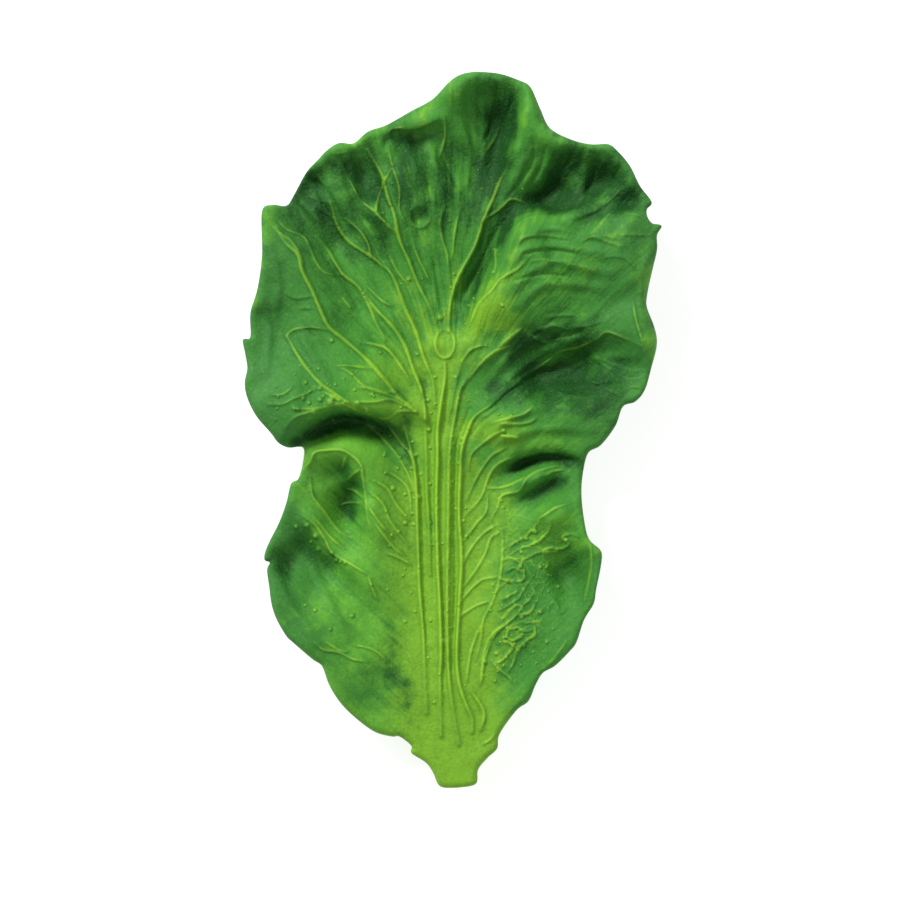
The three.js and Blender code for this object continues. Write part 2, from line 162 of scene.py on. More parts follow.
# Name, rise, how far it reaches left and right of its path as it is walked, and the path.
FOLDS = [
    ("upper left hem", 6, 13, 1.3, [
        (-35, -1.5), (-30.5, 1.8), (-26.5, 4), (-22.5, 5), (-17.5, 4.2), (-9, 4),
    ]),
    ("hollow under the hem", -6, 1.6, 3.4, [(-32, -1.5), (-26.5, 1.2), (-22, 2.2), (-17, 1.4), (-11.5, -2)]),
    ("lower left arc", 4.6, 6, 3.2, [
        (-33, -6), (-28.5, -4), (-23, -4), (-19.5, -6.5), (-18, -16), (-15, -29.5),
    ]),
    ("left dimple", -6, 3, 4.4, [(-22.5, -9.5), (-21, -12.5), (-21.5, -16.5), (-19.5, -20.5)]),
    ("left diagonal", 3.2, 3.6, 2.2, [(-33.5, -16), (-30, -19), (-26.5, -24), (-21.5, -28), (-14.5, -36.5)]),
    ("left pocket", -4.5, 5.5, 6, [(-34.5, -21.5), (-30.5, -25), (-22.5, -31)]),
    ("lower left swell", 2.5, 9, 7, [(-34, -38.5), (-26.5, -43.5), (-12.5, -52)]),
    ("left notch", -2.5, 2, 2, [(-38.5, -26), (-35, -27.5), (-34.5, -31)]),
    ("left lobe swell", 3, 9, 9, [(-39.5, 10.5), (-35, 6), (-29.5, 5)]),
    ("left edge hollow", -3, 6, 7, [(-39.5, 27.5), (-38, 20), (-35, 14.5)]),
    ("middle left swell", 2, 8, 8, [(-37, 43), (-32, 35.5), (-22.5, 18)]),
    ("left furrow", -2.2, 5, 5, [(-29, 41.5), (-24.5, 35.5), (-16.5, 21)]),
    ("upper left rim", 2.5, 2.5, 3, [(-38, 45.5), (-34, 52), (-29.5, 57), (-22.5, 59.5), (-14, 64.5)]),
    ("upper left pocket", -5.5, 3.6, 3.6, [(-34.5, 46.5), (-31.5, 51), (-27, 55.5)]),
    ("left slant crest", 2.6, 2.4, 2.4, [(-23.5, 57), (-21, 51), (-16.5, 46), (-11.5, 40.5)]),
    ("slant pocket", -3.2, 3.2, 3.2, [(-20, 57), (-19, 52.5), (-15.5, 47)]),
    ("left slant valley", -3, 3.6, 3.6, [(-28, 47), (-25.5, 42), (-22, 37.5)]),
    ("top lip", 2.2, 2, 1.1, [(-13, 62.5), (-8, 63.6), (-1.5, 65.5)]),
    ("hollow under the lip", -2, 1.1, 3, [(-12, 61), (-7.7, 61.5), (-3, 63)]),
    ("top crest", 4.5, 3.5, 3.5, [(-1.5, 65.5), (0, 70), (4, 73.5), (10, 73.5), (15, 72.5)]),
    ("top valley", -5, 2.8, 5, [(8.5, 70), (10, 64), (9, 57), (6.5, 50)]),
    ("top right rib", 3.4, 3, 1.3, [(15.5, 71), (14.8, 66), (13, 59.5), (11.3, 54)]),
    ("top left swell", 3.2, 6, 6, [(-11, 58.5), (-8.5, 51.5), (-6.5, 40)]),
    ("crater", -2.6, 2.2, 2.2, [(-7.5, 46), (-6, 43.5)]),
    ("top dent", -2, 2.6, 2.6, [(-0.5, 61.5), (2, 56.5), (3, 52)]),
    ("top right rim", 4, 2.8, 3, [
        (16.5, 70), (18.5, 62.5), (22.5, 60), (30, 59.5), (35.5, 55.5), (39.5, 49),
    ]),
    ("first right pocket", -6, 3.4, 3.4, [(16, 45.5), (20.5, 50), (24, 54)]),
    ("second right pocket", -4, 3.2, 3.2, [(27.5, 49), (31.5, 52), (34.5, 54.5)]),
    ("third right pocket", -3, 2.6, 2.6, [(35.5, 48.5), (38.5, 46.5)]),
    ("pocket wall", 3.2, 1.8, 2.4, [(22.5, 43), (26.5, 45.5), (36, 50.5)]),
    ("right lobe crest", 6.5, 2.2, 13, [
        (4, 19), (5.5, 25), (8, 31), (10.5, 37), (13.5, 42), (18.5, 44.5), (23, 44),
    ]),
    ("valley before the lobe", -3.6, 3.6, 2.2, [(3, 24), (5.5, 30), (8, 35), (11, 41.5), (15, 46)]),
    ("right lobe back", 4.6, 1.8, 10, [(21.5, 43), (25.5, 39.5), (30.5, 42), (35.5, 44.5), (41.5, 45)]),
    ("right lobe pinch", -2.4, 2, 3, [(25.5, 42.5), (27.5, 40), (27.5, 36.5)]),
    ("right swell", 3, 9, 9, [(31, 37), (37, 34), (40.5, 29.5)]),
    ("right edge crest", 3.4, 2.6, 4, [(38, 27.5), (38, 23), (39.5, 19), (41.5, 15.5)]),
    ("hollow edge", 2.6, 4, 1.8, [(14, 10.5), (21, 15.5), (26.5, 18), (32, 20.5), (38.5, 18)]),
    ("right hollow", -9, 6.5, 7.5, [(13, 9.5), (19.5, 12.5), (25, 13.5), (32, 12.5)]),
    ("right rim swell", 4, 6, 7, [(41.5, 12.5), (39.5, 7.5), (32, 5.5)]),
    ("right fold", 4.6, 6, 6, [(5, -3), (10, 2.5), (17.5, 5.5), (25, 4), (29, -1.5)]),
    ("right crease", -5, 1.1, 2.8, [(11, -8.5), (15, -6.8), (20.5, -5.8), (26.5, -7)]),
    ("right low crest", 3, 1.8, 3, [(12.5, -12.5), (16.5, -10), (19.5, -7.5), (24, -7)]),
    ("right dimple", -3.6, 2.2, 2.6, [(13.5, -15), (18, -12.5), (22, -11), (25, -10.5)]),
    ("right ridge", 3.4, 2.2, 3.4, [(17, -19), (20.5, -17), (25.5, -14.5)]),
    ("right low hollow", -5, 5.5, 5.5, [(20, -31.5), (24.5, -30), (28.5, -28.5)]),
    ("right low rim", 4, 3, 3, [(27.5, -14.5), (29, -23), (30.5, -26), (30.5, -33), (28.5, -40)]),
    ("net field swell", 2.2, 9, 9, [(16.5, -23), (14, -35.5), (11, -48)]),
    ("lower right rim", 1.8, 4, 4, [(28, -42.5), (21, -50.5), (16.5, -56)]),
    ("lower left rim", 1.8, 4, 4, [(-38, -33), (-34, -44.5), (-25.5, -54), (-16.5, -62)]),
    ("swell of the eye", 1.1, 3.2, 3.2, [(-1.5, 16.5), (-1.5, 20)]),
    ("stalk round", STALK_RISE, 5, 5, [(1.5, -75), (0, -60), (-2, -30), (-1.5, 16)]),
]
FOLD_END_SHARE = 0.3
FOLD_END_HEIGHT = 0.35
FELT_REACHES = 3


def smooth_step(t):
    t = np.clip(t, 0, 1)
    return t * t * (3 - 2 * t)


def smooth_path(points, steps=5):
    """A Catmull-Rom curve through the points, as an array of places."""
    p = np.array(points, float)
    q = np.vstack([p[0], p, p[-1]])
    t = (np.arange(steps) / steps)[:, None]
    spans = []
    for a, b, c, d in zip(q, q[1:], q[2:], q[3:]):
        bend = 2 * a - 5 * b + 4 * c - d
        twist = -a + 3 * b - 3 * c + d
        spans.append(0.5 * (2 * b + (c - a) * t + bend * t**2 + twist * t**3))
    return np.vstack([*spans, p[-1:]])


def nearest_on(path, x, y):
    """Distance to a path, the side (1 on its left, -1 on its right, through 0 past its ends), and how far
    along the path, from 0 to 1, its nearest point lies."""
    best = np.full(x.shape, np.inf)
    side = np.zeros(x.shape)
    along = np.zeros(x.shape)
    walked = 0.0
    for (ax, ay), (bx, by) in zip(path, path[1:]):
        ux, uy = bx - ax, by - ay
        length = math.hypot(ux, uy)
        if length < TINY:
            continue
        t = np.clip(((x - ax) * ux + (y - ay) * uy) / length**2, 0, 1)
        dx, dy = x - ax - t * ux, y - ay - t * uy
        square = dx * dx + dy * dy
        nearer = square < best
        best = np.where(nearer, square, best)
        side = np.where(nearer, (ux * dy - uy * dx) / length, side)
        along = np.where(nearer, walked + t * length, along)
        walked += length
    distance = np.sqrt(best)
    return distance, side / np.maximum(distance, TINY), along / walked


def stroke_strength(points, left, right, x, y, end_height=FOLD_END_HEIGHT):
    """How strongly a stroke along a path is felt at each place, from 0 to 1."""
    path = smooth_path(points)
    margin = FELT_REACHES * max(left, right)
    low, high = path.min(0) - margin, path.max(0) + margin
    near = (x > low[0]) & (x < high[0]) & (y > low[1]) & (y < high[1])
    result = np.zeros(x.shape)
    x, y = x[near], y[near]
    distance, side, along = nearest_on(path, x, y)
    reach = 0.5 * (left * (1 + side) + right * (1 - side))
    fade = end_height + (1 - end_height) * smooth_step(np.minimum(along, 1 - along) / FOLD_END_SHARE)
    result[near] = fade * np.exp(-((distance / reach) ** 2))
    return result


GRID_STEP = 0.5
GRID_HALF = (50.0, 82.0)
grid_x, grid_y = np.meshgrid(
    np.arange(-GRID_HALF[0], GRID_HALF[0] + GRID_STEP, GRID_STEP),
    np.arange(-GRID_HALF[1], GRID_HALF[1] + GRID_STEP, GRID_STEP),
)


def softened(z, passes):
    """Heights averaged with their neighbours, over and over."""
    for _ in range(passes):
        z = np.pad(z, 1, mode="edge")
        z = 0.25 * z[:-2] + 0.5 * z[1:-1] + 0.25 * z[2:]
        z = 0.25 * z[:, :-2] + 0.5 * z[:, 1:-1] + 0.25 * z[:, 2:]
    return z


def read_grid(z, x, y):
    """A grid's value at any place between its points."""
    u, v = (x + GRID_HALF[0]) / GRID_STEP, (y + GRID_HALF[1]) / GRID_STEP
    i, j = np.floor(u).astype(int), np.floor(v).astype(int)
    u, v = u - i, v - j
    low = z[j, i] * (1 - u) + z[j, i + 1] * u
    high = z[j + 1, i] * (1 - u) + z[j + 1, i + 1] * u
    return low * (1 - v) + high * v


trough = MIDRIB_THICKNESS - STALK_RISE + TROUGH_RISE * (np.abs(grid_x) / TROUGH_REACH) ** TROUGH_POWER
for _, rise, left, right, points in FOLDS:
    trough = trough + rise * stroke_strength(points, left, right, grid_x, grid_y)
face_grid = softened(trough, FACE_SOFTENING)
back_grid = softened(face_grid, BACK_SOFTENING)

right_outline = smooth_path(RIGHT_SIDE, OUTLINE_STEPS)
outline = np.vstack([smooth_path(LEFT_SIDE, OUTLINE_STEPS), right_outline[-2:0:-1]])


def even_path(path, step):
    """The same closed path with its points evenly spaced."""
    closed = np.vstack([path, path[:1]])
    along = np.concatenate([[0], np.cumsum(np.hypot(*np.diff(closed, axis=0).T))])
    stops = np.linspace(0, along[-1], round(along[-1] / step), endpoint=False)
    return np.column_stack([np.interp(stops, along, closed[:, k]) for k in (0, 1)])


def inside_outline(x, y):
    inside = np.zeros(x.shape, bool)
    for (ax, ay), (bx, by) in zip(outline, np.roll(outline, -1, axis=0)):
        if ay == by:
            continue
        crosses = (ay > y) != (by > y)
        inside ^= crosses & (x < (bx - ax) * (y - ay) / (by - ay) + ax)
    return inside


# ---- The ridges and veins
# The mould was taken from a grown leaf, so its veins stand up in the rubber as rounded lines: a bundle of
# ridges and grooves along the midrib, main veins that fan out of it, side veins off those, and a fine net.

# Where a number stands before a course, it is the course's strength.
RIB_RIDGES = [
    (1, [
        (-10.5, 2.25), (-9.25, -1.75), (-8.25, -5.5), (-7.5, -10.75), (-7.25, -18.5), (-7, -27),
        (-6.75, -33.25), (-6, -42.25), (-5.75, -49.25), (-5.25, -59),
    ]),
    (0.7, [(-5.75, 6.5), (-5.5, -2), (-5.25, -12.75), (-4.75, -21.25), (-4.5, -30)]),
    (1.3, [
        (-1.5, 14), (-1.5, 10.75), (-2.25, 5.75), (-3, 0), (-3, -6.25), (-3.25, -14.75), (-3, -27),
        (-2.5, -36.5), (-2.25, -46.25), (-2.5, -52.5), (-2.25, -63.75),
    ]),
    (1, [
        (4.75, 13.75), (2.75, 10.75), (1.5, 8), (0.75, 3.75), (-0.5, -4.25), (-0.75, -19), (-1, -36.5),
        (-0.75, -49.25), (0, -56.5), (1.5, -65.5),
    ]),
    (1.2, [
        (14.25, 10.25), (8.5, 5.75), (4.75, 3), (3.25, 0), (2, -4.25), (1.75, -9.5), (1.5, -17),
        (2, -27), (1.5, -36.5), (1, -46.25), (1.5, -52.5), (3, -57.25), (4.25, -60.25), (4.25, -63),
    ]),
    (0.9, [(4.25, -54.75), (6, -57.25), (6.75, -59.5), (6, -62.5)]),
    (0.5, [(2, 14.5), (1, 10.75), (0, 5.75), (-0.75, 2.25)]),
]
RIB_GROOVES = [
    (1, [(-9.25, 0.75), (-7.25, -5), (-6.5, -10.75), (-6, -21.25), (-5.75, -33.25), (-5, -43.75)]),
    (0.7, [(-4.25, 4.5), (-4.25, -8.25), (-4, -20.75), (-3.75, -35.25)]),
    (0.7, [(-0.75, 8.5), (-1.75, 0.25), (-2, -14.5), (-2, -27), (-1.75, -39.5), (-1.5, -54)]),
    (1.2, [(3.75, 4.5), (1.25, -2), (0.75, -8.25), (0.5, -18.5), (0.75, -29), (0.5, -39.5), (0, -50)]),
]
MAIN_VEINS = [
    (1, [
        (-3.5, 22.5), (-5, 26.5), (-7, 30.5), (-9, 35.5), (-11, 40), (-12, 45), (-13.5, 49), (-14.5, 53),
        (-16, 56), (-17.5, 58.5),
    ]),
    (0.7, [(-0.5, 30.5), (-1, 36.5), (-2, 40), (-2.5, 43.5), (-1.5, 47)]),
    (1.1, [
        (-0.5, 21), (-0.5, 25.5), (0.5, 30), (2, 33.5), (4.5, 38), (6, 42), (6.5, 44), (8.5, 48.5),
        (10, 52.5), (12.5, 57),
    ]),
    (0.9, [
        (-3.5, 5), (-4, 10.5), (-6, 15.5), (-7.5, 20.5), (-9.5, 25), (-11, 29), (-12.5, 32.5), (-15, 35),
        (-18.5, 37.5), (-21.5, 39.5), (-24, 43), (-25.5, 48.5), (-26.5, 51.5),
    ]),
    (1.1, [
        (-5.5, 2.5), (-6, 7.5), (-8, 12.5), (-9.5, 17), (-11.5, 20.5), (-13.5, 23), (-16, 25.5),
        (-18.5, 29),
    ]),
    (1.2, [
        (-7.5, 4), (-11, 7), (-13.5, 10), (-16, 13), (-19, 16), (-22.5, 19), (-25.5, 21.5),
        (-27.5, 25.5), (-29, 29), (-31, 33), (-32, 36.5), (-34.5, 39), (-36.5, 42),
    ]),
    (1, [(-20, 5), (-24, 7.5), (-27.5, 10), (-30.5, 13.5), (-32.5, 16.5), (-34.5, 20)]),
    (0.9, [(-8.5, 10), (-11, 14), (-13.5, 17), (-16, 18), (-19, 18.5)]),
    (0.9, [
        (-14, 19), (-16, 23), (-17.5, 26.5), (-19.5, 30), (-22.5, 32.5), (-24, 34.5), (-26, 38),
        (-28, 40.5),
    ]),
]
SIDE_VEINS = [
    [(-13.5, 60.5), (-12.5, 55.5), (-11, 50.5), (-11, 46), (-9.5, 43)],
    [(6.5, 44), (10, 46.5), (12.5, 48.5), (16, 47.5)],
    [(-8, 38.5), (-6.5, 35), (-4.5, 31)],
    [(-13.5, 37.5), (-11.5, 33.5), (-9.5, 31)],
    [(-22.5, 44.5), (-19.5, 42), (-17.5, 39), (-17, 36.5)],
    [(-19, 48), (-16.5, 46), (-14, 43.5), (-12, 41.5)],
    [(-26, 21), (-29, 21.5), (-33, 21), (-34.5, 19.5)],
    [(-27.5, 9), (-30.5, 7.5), (-33, 6.5), (-35, 5.5), (-38, 5.5)],
    [(-21.5, 6), (-25.5, 5), (-29, 4.5), (-32, 4.5)],
    [(-33, 9), (-35, 7.5), (-37.5, 7.5)],
    [(-24, 13.5), (-21, 12), (-18.5, 9.5), (-15, 8), (-12, 8)],
    [(-24, 13.5), (-21.5, 13.5), (-17, 13)],
    [(-23, 28), (-21, 25.5)],
    [(-18, 30.5), (-15, 27.5), (-12.5, 26)],
    [(-20, 6), (-16, 6), (-12.5, 6.5), (-8.5, 4.5)],
    [(-18.5, 4), (-14, 2.5), (-11, 4), (-7.5, 4)],
    [(-37, 45), (-34.5, 42), (-31, 40.5), (-29.5, 38), (-28.5, 35.5), (-26.5, 33), (-23, 32.5)],
    [(-35.5, 41), (-33.5, 39.5), (-32, 37.5), (-31, 35)],
    [(-23, 56.5), (-21.5, 52.5), (-19, 48)],
    [(3, 20.5), (4, 23), (5.5, 26.5), (8.5, 29.5), (10, 31.5), (13.5, 33.5), (16.5, 36.5)],
    [(7, 35.5), (7.5, 37.5), (9, 38), (9, 37), (9, 34), (8, 32)],
    [(10, 17.5), (13.5, 20.5), (15.5, 22)],
    [
        (14, 10.5), (18.5, 13.5), (22.5, 16.5), (26.5, 17.5), (30, 19), (32, 20.5), (35, 19.5),
        (39, 17.5),
    ],
    [(37.5, 26.5), (38, 23), (39.5, 18)],
    [(2, 14.5), (4, 17), (7, 18)],
    [(2.5, 9.5), (6, 14), (9, 16.5), (13, 18)],
    [
        (-31.5, -10), (-31, -8), (-29.5, -6.5), (-28.5, -4.5), (-26, -4), (-23, -4), (-21, -5),
        (-19, -7), (-18.5, -10), (-18, -14.5), (-17.5, -18.5), (-16.5, -22),
    ],
    [
        (-32.5, -17), (-29, -19), (-26.5, -22.5), (-25, -25.5), (-21.5, -27.5), (-19, -29),
        (-16.5, -30.5),
    ],
    [(-29, -17.5), (-27, -20), (-25, -22.5), (-22.5, -24.5)],
    [(-29.5, -9.5), (-29, -13.5), (-26.5, -17), (-24, -20.5), (-21, -22.5)],
    [(-28.5, -44), (-26.5, -45.5), (-23.5, -46), (-20.5, -47.5), (-17.5, -48)],
    [(-26, -44), (-23.5, -45.5), (-21.5, -46)],
    [(-20.5, -44.5), (-16.5, -45.5), (-13.5, -48)],
    [(-17.5, -30), (-16.5, -33), (-15.5, -35.5)],
    [(-18.5, 2), (-15, -1), (-11.5, -5), (-9, -9.5), (-8, -12.5)],
    [(-14, 2), (-11.5, -1.5), (-9, -4.5), (-7.5, -7.5)],
    [(-14.5, -8), (-11, -10), (-9, -12.5), (-8.5, -17)],
    [(-17, -10), (-13.5, -12), (-11.5, -15.5), (-9, -18.5)],
    [(-18, -12), (-14.5, -15), (-13, -18.5), (-11, -21.5), (-9, -24)],
    [(-17.5, -15.5), (-15.5, -18.5), (-13.5, -21)],
    [(-16.5, -18.5), (-14, -22), (-12, -24.5), (-10, -26)],
    [(-13.5, -25.5), (-11, -26.5), (-8.5, -28)],
    [(8, 1.5), (11, 2.5), (15, 3.5), (17, 5.5)],
    [(10, 1.5), (15, 1.5), (17.5, 2.5)],
    [(10, -1), (14, -1.5)],
    [(3.5, -8), (4, -5), (6.5, -2.5), (9.5, -0.5), (11.5, 0)],
    [(3, -14.5), (5, -10), (6.5, -7.5), (8.5, -5), (11.5, -3.5)],
    [(2.5, -18), (6, -14), (7.5, -10), (9, -7.5), (11.5, -6), (14, -5.5)],
    [
        (7.5, -19.5), (9.5, -16), (10.5, -13.5), (14, -12.5), (15.5, -10), (17.5, -8.5), (21, -7.5),
        (24.5, -7),
    ],
    [(7.5, -12), (11.5, -11.5), (15.5, -9.5)],
    [(2.5, -23), (5, -19.5), (7, -17), (7.5, -13.5)],
    [(2.5, -27.5), (4, -24.5), (6.5, -21.5), (9.5, -19.5)],
    [(10.5, -20.5), (10.5, -25.5), (10, -30.5), (8.5, -35.5), (6.5, -39.5), (6, -43.5), (5, -48)],
    [(2.5, -32.5), (5, -29), (7, -25.5), (8, -22.5), (10, -21)],
    [(2, -35.5), (4, -33), (6.5, -31), (10, -30.5)],
    [(2, -38.5), (5, -36.5), (8, -35.5)],
    [(3, -52.5), (4, -46), (6, -40.5)],
    [(6, -53), (6.5, -47), (8, -43), (10.5, -40.5)],
    [(18.5, -4.5), (21.5, -4.5), (24.5, -5.5)],
    [(19.5, -9.5), (21, -8.5), (23.5, -8)],
    [(17, -19), (20, -17), (21.5, -16), (24.5, -15)],
    [(28.5, -23), (29, -27), (28.5, -31), (27.5, -35.5)],
    [(24, -43.5), (21, -47.5), (18.5, -50)],
    [(6.5, -65.5), (8, -64.5), (9.5, -62.5)],
    [(-23.5, -15.5), (-21.5, -15), (-19, -15)],
    [(-22.5, -12), (-20.5, -12.5), (-18.5, -14)],
    [(-22, -10.5), (-20.5, -9), (-19, -8)],
    [(-23, -8), (-22.5, -6.5), (-22, -5.5)],
    [(-1.5, 65.5), (-1.5, 61.5), (-2.5, 57.5)],
    [(-13.4, 60), (-12.6, 62.9), (-7.7, 63.2), (-3, 65)],
    [(-34.4, 0.7), (-32.3, 2.8), (-29.1, 3.9), (-26, 4.9), (-22.4, 5.4), (-19.2, 3.9), (-15.6, 2.9)],
    [(-26.5, 8), (-22.9, 6)],
    [(-9, 5.6), (-13.5, 7.6), (-16.6, 8.8), (-19.5, 9)],
    [(-12, 56), (-15, 50), (-16, 44.5)],
    [(1.5, 46), (0.5, 41), (0, 36)],
]
NET_VEINS = [
    [(20.5, -19), (20, -21), (18, -23), (16, -24), (13.75, -24.75), (10.5, -27)],
    [(18, -19), (16.25, -21), (14.5, -22.5), (10.75, -24.75)],
    [
        (26.25, -22), (24.75, -21.5), (23, -22.25), (24.25, -23.75), (22.5, -24.75), (20.5, -24.5),
        (18.5, -25.25), (16, -26.5),
    ],
    [
        (23, -24.75), (20.75, -25.25), (18.5, -25.25), (16, -26.25), (14.5, -27.5), (15, -29.75),
        (14.5, -31.25), (11.5, -31.5), (9.5, -33.25),
    ],
    [(10.75, -27), (12.5, -26.5), (14.5, -27.5)],
    [(11.25, -29.5), (13, -28.5), (15, -29.75)],
    [(10, -30.75), (11.75, -31.25), (13.25, -31.25)],
    [(16, -31.5), (14.5, -33.75), (13.75, -35), (11.5, -36.5), (9.5, -37.5)],
    [
        (17.25, -32.5), (16.25, -35), (14.75, -36.25), (13.75, -38), (10.75, -40.75), (9.5, -41.75),
        (8.25, -43.75), (6.75, -46.25),
    ],
    [(14.75, -36.25), (13, -36.5), (11.25, -38.25), (10, -40)],
    [(17.75, -35.25), (16.5, -37.5), (15.25, -38.25), (13.75, -38)],
    [(14.75, -40), (18.25, -39.75)],
    [(11, -41), (12, -41.25), (13.75, -41), (15, -41.75), (17.25, -41.25)],
    [(15, -41.75), (14.25, -43), (12.5, -43.75), (11.25, -43), (9.75, -43.75)],
    [(17.25, -41.25), (17.25, -42.5), (15.5, -43.75), (14.25, -45), (13.75, -46.75)],
    [(11.75, -41.5), (11.25, -43)],
    [(9.5, -44.5), (11.25, -44), (12.75, -45), (11.75, -46.5), (10, -48.25), (8.25, -48.25)],
    [(8.25, -43.75), (7.5, -45.75), (6.75, -48.25), (6.25, -52)],
    [(8, -47.5), (9.5, -49.5), (11.75, -51.25), (12.75, -52.5)],
    [(13.75, -45), (12.75, -48.5), (11.5, -50.5)],
    [(14.25, -33.25), (12.5, -34), (10.75, -35.25)],
]
CREASES = [
    [(20, -37), (21.5, -35.5), (22.5, -38), (24, -37)],
    [(-25.5, 58.5), (-24, 57.5), (-21.5, 58), (-20, 58.5)],
    [(-31, 50), (-28.5, 48.5), (-25.5, 47.5)],
    [(-29, 47), (-27, 46), (-25, 44.5)],
    [(16.5, 20.5), (18, 19), (20.5, 18)],
    [(20, 23.5), (22.5, 24), (25.5, 24)],
    [(25.5, 21.5), (29, 22), (31.5, 23)],
    [(21.5, 19), (24, 19.5), (26, 20)],
    [(31, 47), (32.5, 49), (34.5, 50.5)],
    [(13.5, 38), (15, 40), (19, 40.5), (22.5, 40), (26, 39.5)],
    [(12.5, 41), (14, 43), (16.5, 44.5), (20, 45)],
    [(16.5, 35), (19, 35.5), (22.5, 35)],
    [(26.5, 39), (29, 40), (32, 39), (35, 38)],
    [(28.5, 40.5), (31, 43), (33.5, 46), (35.5, 47.5)],
    [(34, 44), (37.5, 45), (40.5, 43)],
    [(34.5, 40.5), (37.5, 40.5), (41.5, 40.5)],
    [(17, 20.5), (21, 22), (24, 21)],
    [(10.9, 44.5), (15.9, 47), (18.4, 49.9), (23.8, 54.9), (28, 57)],
    [(21.3, 45.3), (23.4, 50.8), (24.2, 54.5)],
    [(25.5, 44), (30.5, 46.2), (34.7, 49.9), (36.3, 54.5)],
    [(28.8, 40.8), (31.3, 43.7), (35.9, 47.4), (37.2, 49)],
    [(-2.5, 74), (-4.5, 72), (-6, 70)],
    [(8.5, 73.5), (8.5, 69), (8.5, 65)],
    [(7.5, 59), (9, 61.5), (10, 63.5)],
    [(-19, 2.5), (-16.5, 1.5), (-14, 1.5)],
    [(39.5, 35.5), (41, 33.5), (42, 31.5)],
    [(31, 35.5), (33.5, 36), (36, 35.5), (38, 33.5)],
    [(27, 18), (30, 15.5), (33, 14), (37, 12.5), (40.5, 12.5)],
    [(28.5, 16.5), (32, 13.5), (36.5, 11), (40.5, 11.5)],
    [(26.5, 11.5), (30, 10), (33.5, 8), (37, 6)],
    [(35, 7.5), (37, 9), (40, 9)],
    [(21, 9), (24, 7.5), (30.5, 6.5)],
    [(-34.5, 28.5), (-32.5, 27.5), (-29, 28)],
    [(-31.5, 25.5), (-29, 25.5)],
]
FURROWS = [
    [(10, 35.5), (12.5, 39), (16.5, 41), (21.5, 42), (29, 40.5), (35, 40)],
    [(11.5, 32.5), (14, 36.5), (18.5, 38), (24.5, 38), (32, 36.5)],
    [(12.5, 29), (16.5, 33), (21, 35), (26.5, 34), (33, 32.5)],
    [(14, 26), (18.5, 30), (24, 30.5), (31, 29.5)],
    [(41.5, 38), (39.5, 33.5), (39.5, 27.5), (40.5, 21)],
    [(8.5, 11), (12, 15.5), (16.5, 19), (21.5, 22)],
    [(10, 8), (14, 12.5), (19.5, 16.5), (26.5, 19.5)],
    [(6.5, 14), (10, 18), (14, 20.5)],
    [(16.5, 8), (22.5, 12), (30, 15), (39.5, 15.5)],
    [(20, 5.5), (26.5, 9), (33, 10.5), (38.5, 10)],
    [(5.5, 0), (8, 4), (12, 7), (18.5, 9), (24.5, 10)],
    [(7, -2), (10, 1), (14, 3.5), (20, 5), (26.5, 4.5)],
    [(10, -2), (16.5, 0), (22.5, 0.5), (29, 0)],
    [(-32, -18.5), (-29.5, -27), (-25.5, -35.5), (-21.5, -43.5)],
    [(-37, -27), (-34, -35.5), (-27.5, -43.5)],
    [(-11, 65), (-9, 58.5), (-6.5, 52.5)],
    [(-6.5, 64), (-4, 58.5), (-2.5, 52.5), (-1.5, 48.5)],
    [(2, 72.5), (2, 67), (3.5, 61), (4.5, 54.5)],
    [(10, 72.5), (11.5, 67), (11, 61), (10, 54.5)],
    [(6.5, 73), (6.5, 67), (7, 61), (6.5, 54.5)],
    [(16.5, 58.5), (14, 54.5), (12.5, 50.5), (10, 46)],
    [(21.5, 58.5), (19.5, 54.5), (18, 50.5)],
    [(29, 58.5), (27.5, 54.5), (29, 50.5)],
    [(34.5, 56.5), (33, 52.5), (35.5, 48.5)],
    [(-38, 38), (-36, 31.5), (-37, 23)],
    [(-39.5, 27.5), (-38, 21), (-38.5, 12.5)],
    [(-32, 21), (-29, 15.5), (-25.5, 10.5)],
    [(-25.5, 52.5), (-24, 48.5), (-21.5, 44)],
    [(-18, 54.5), (-16.5, 48.5), (-14, 42)],
]
# Pleats and wrinkles are pressed in, where the other lines stand up.
PLEATS = [
    (1, [(2, 66), (4, 62), (4.6, 56), (4, 51)]),
    (0.7, [(-14, 59), (-12.6, 61.8), (-7.7, 62.2), (-2.7, 64)]),
    (0.9, [(-22.5, 57), (-21.5, 51), (-19.5, 46), (-16.5, 42)]),
    (1.3, [(-34, -2), (-29, 0.6), (-25, 2.4), (-21, 2.9), (-17.5, 2)]),
    (1.3, [(11.5, -8), (15.2, -6.2), (21.3, -5.2), (26, -6.3), (27.5, -8)]),
    (1, [(15, 21.5), (19, 20), (24, 20), (27, 20.5)]),
    (1.2, [(2, 27), (4, 31.5), (7, 36.5), (9, 41), (12, 45)]),
    (0.8, [(14.3, 71), (13.5, 66), (12, 60), (10.3, 54)]),
    (0.9, [(17, 51), (19, 48), (22.5, 46.5), (27, 47.5)]),
    (0.7, [(24.5, 58), (22.5, 54), (20, 50.5), (16.5, 47.5)]),
    (0.7, [(30.5, 57.5), (29, 53.5), (28.5, 49.5)]),
    (0.7, [(-29.5, 54.5), (-27.5, 50.5), (-26.5, 46)]),
    (0.6, [(-6.2, 12.5), (-5.6, 9), (-5.4, 4.5)]),
    (0.7, [(8, 4), (13, 9), (19, 12.5), (25, 13.5)]),
    (0.6, [(12, 6.5), (17, 9.5), (23, 10.5), (29, 10)]),
]
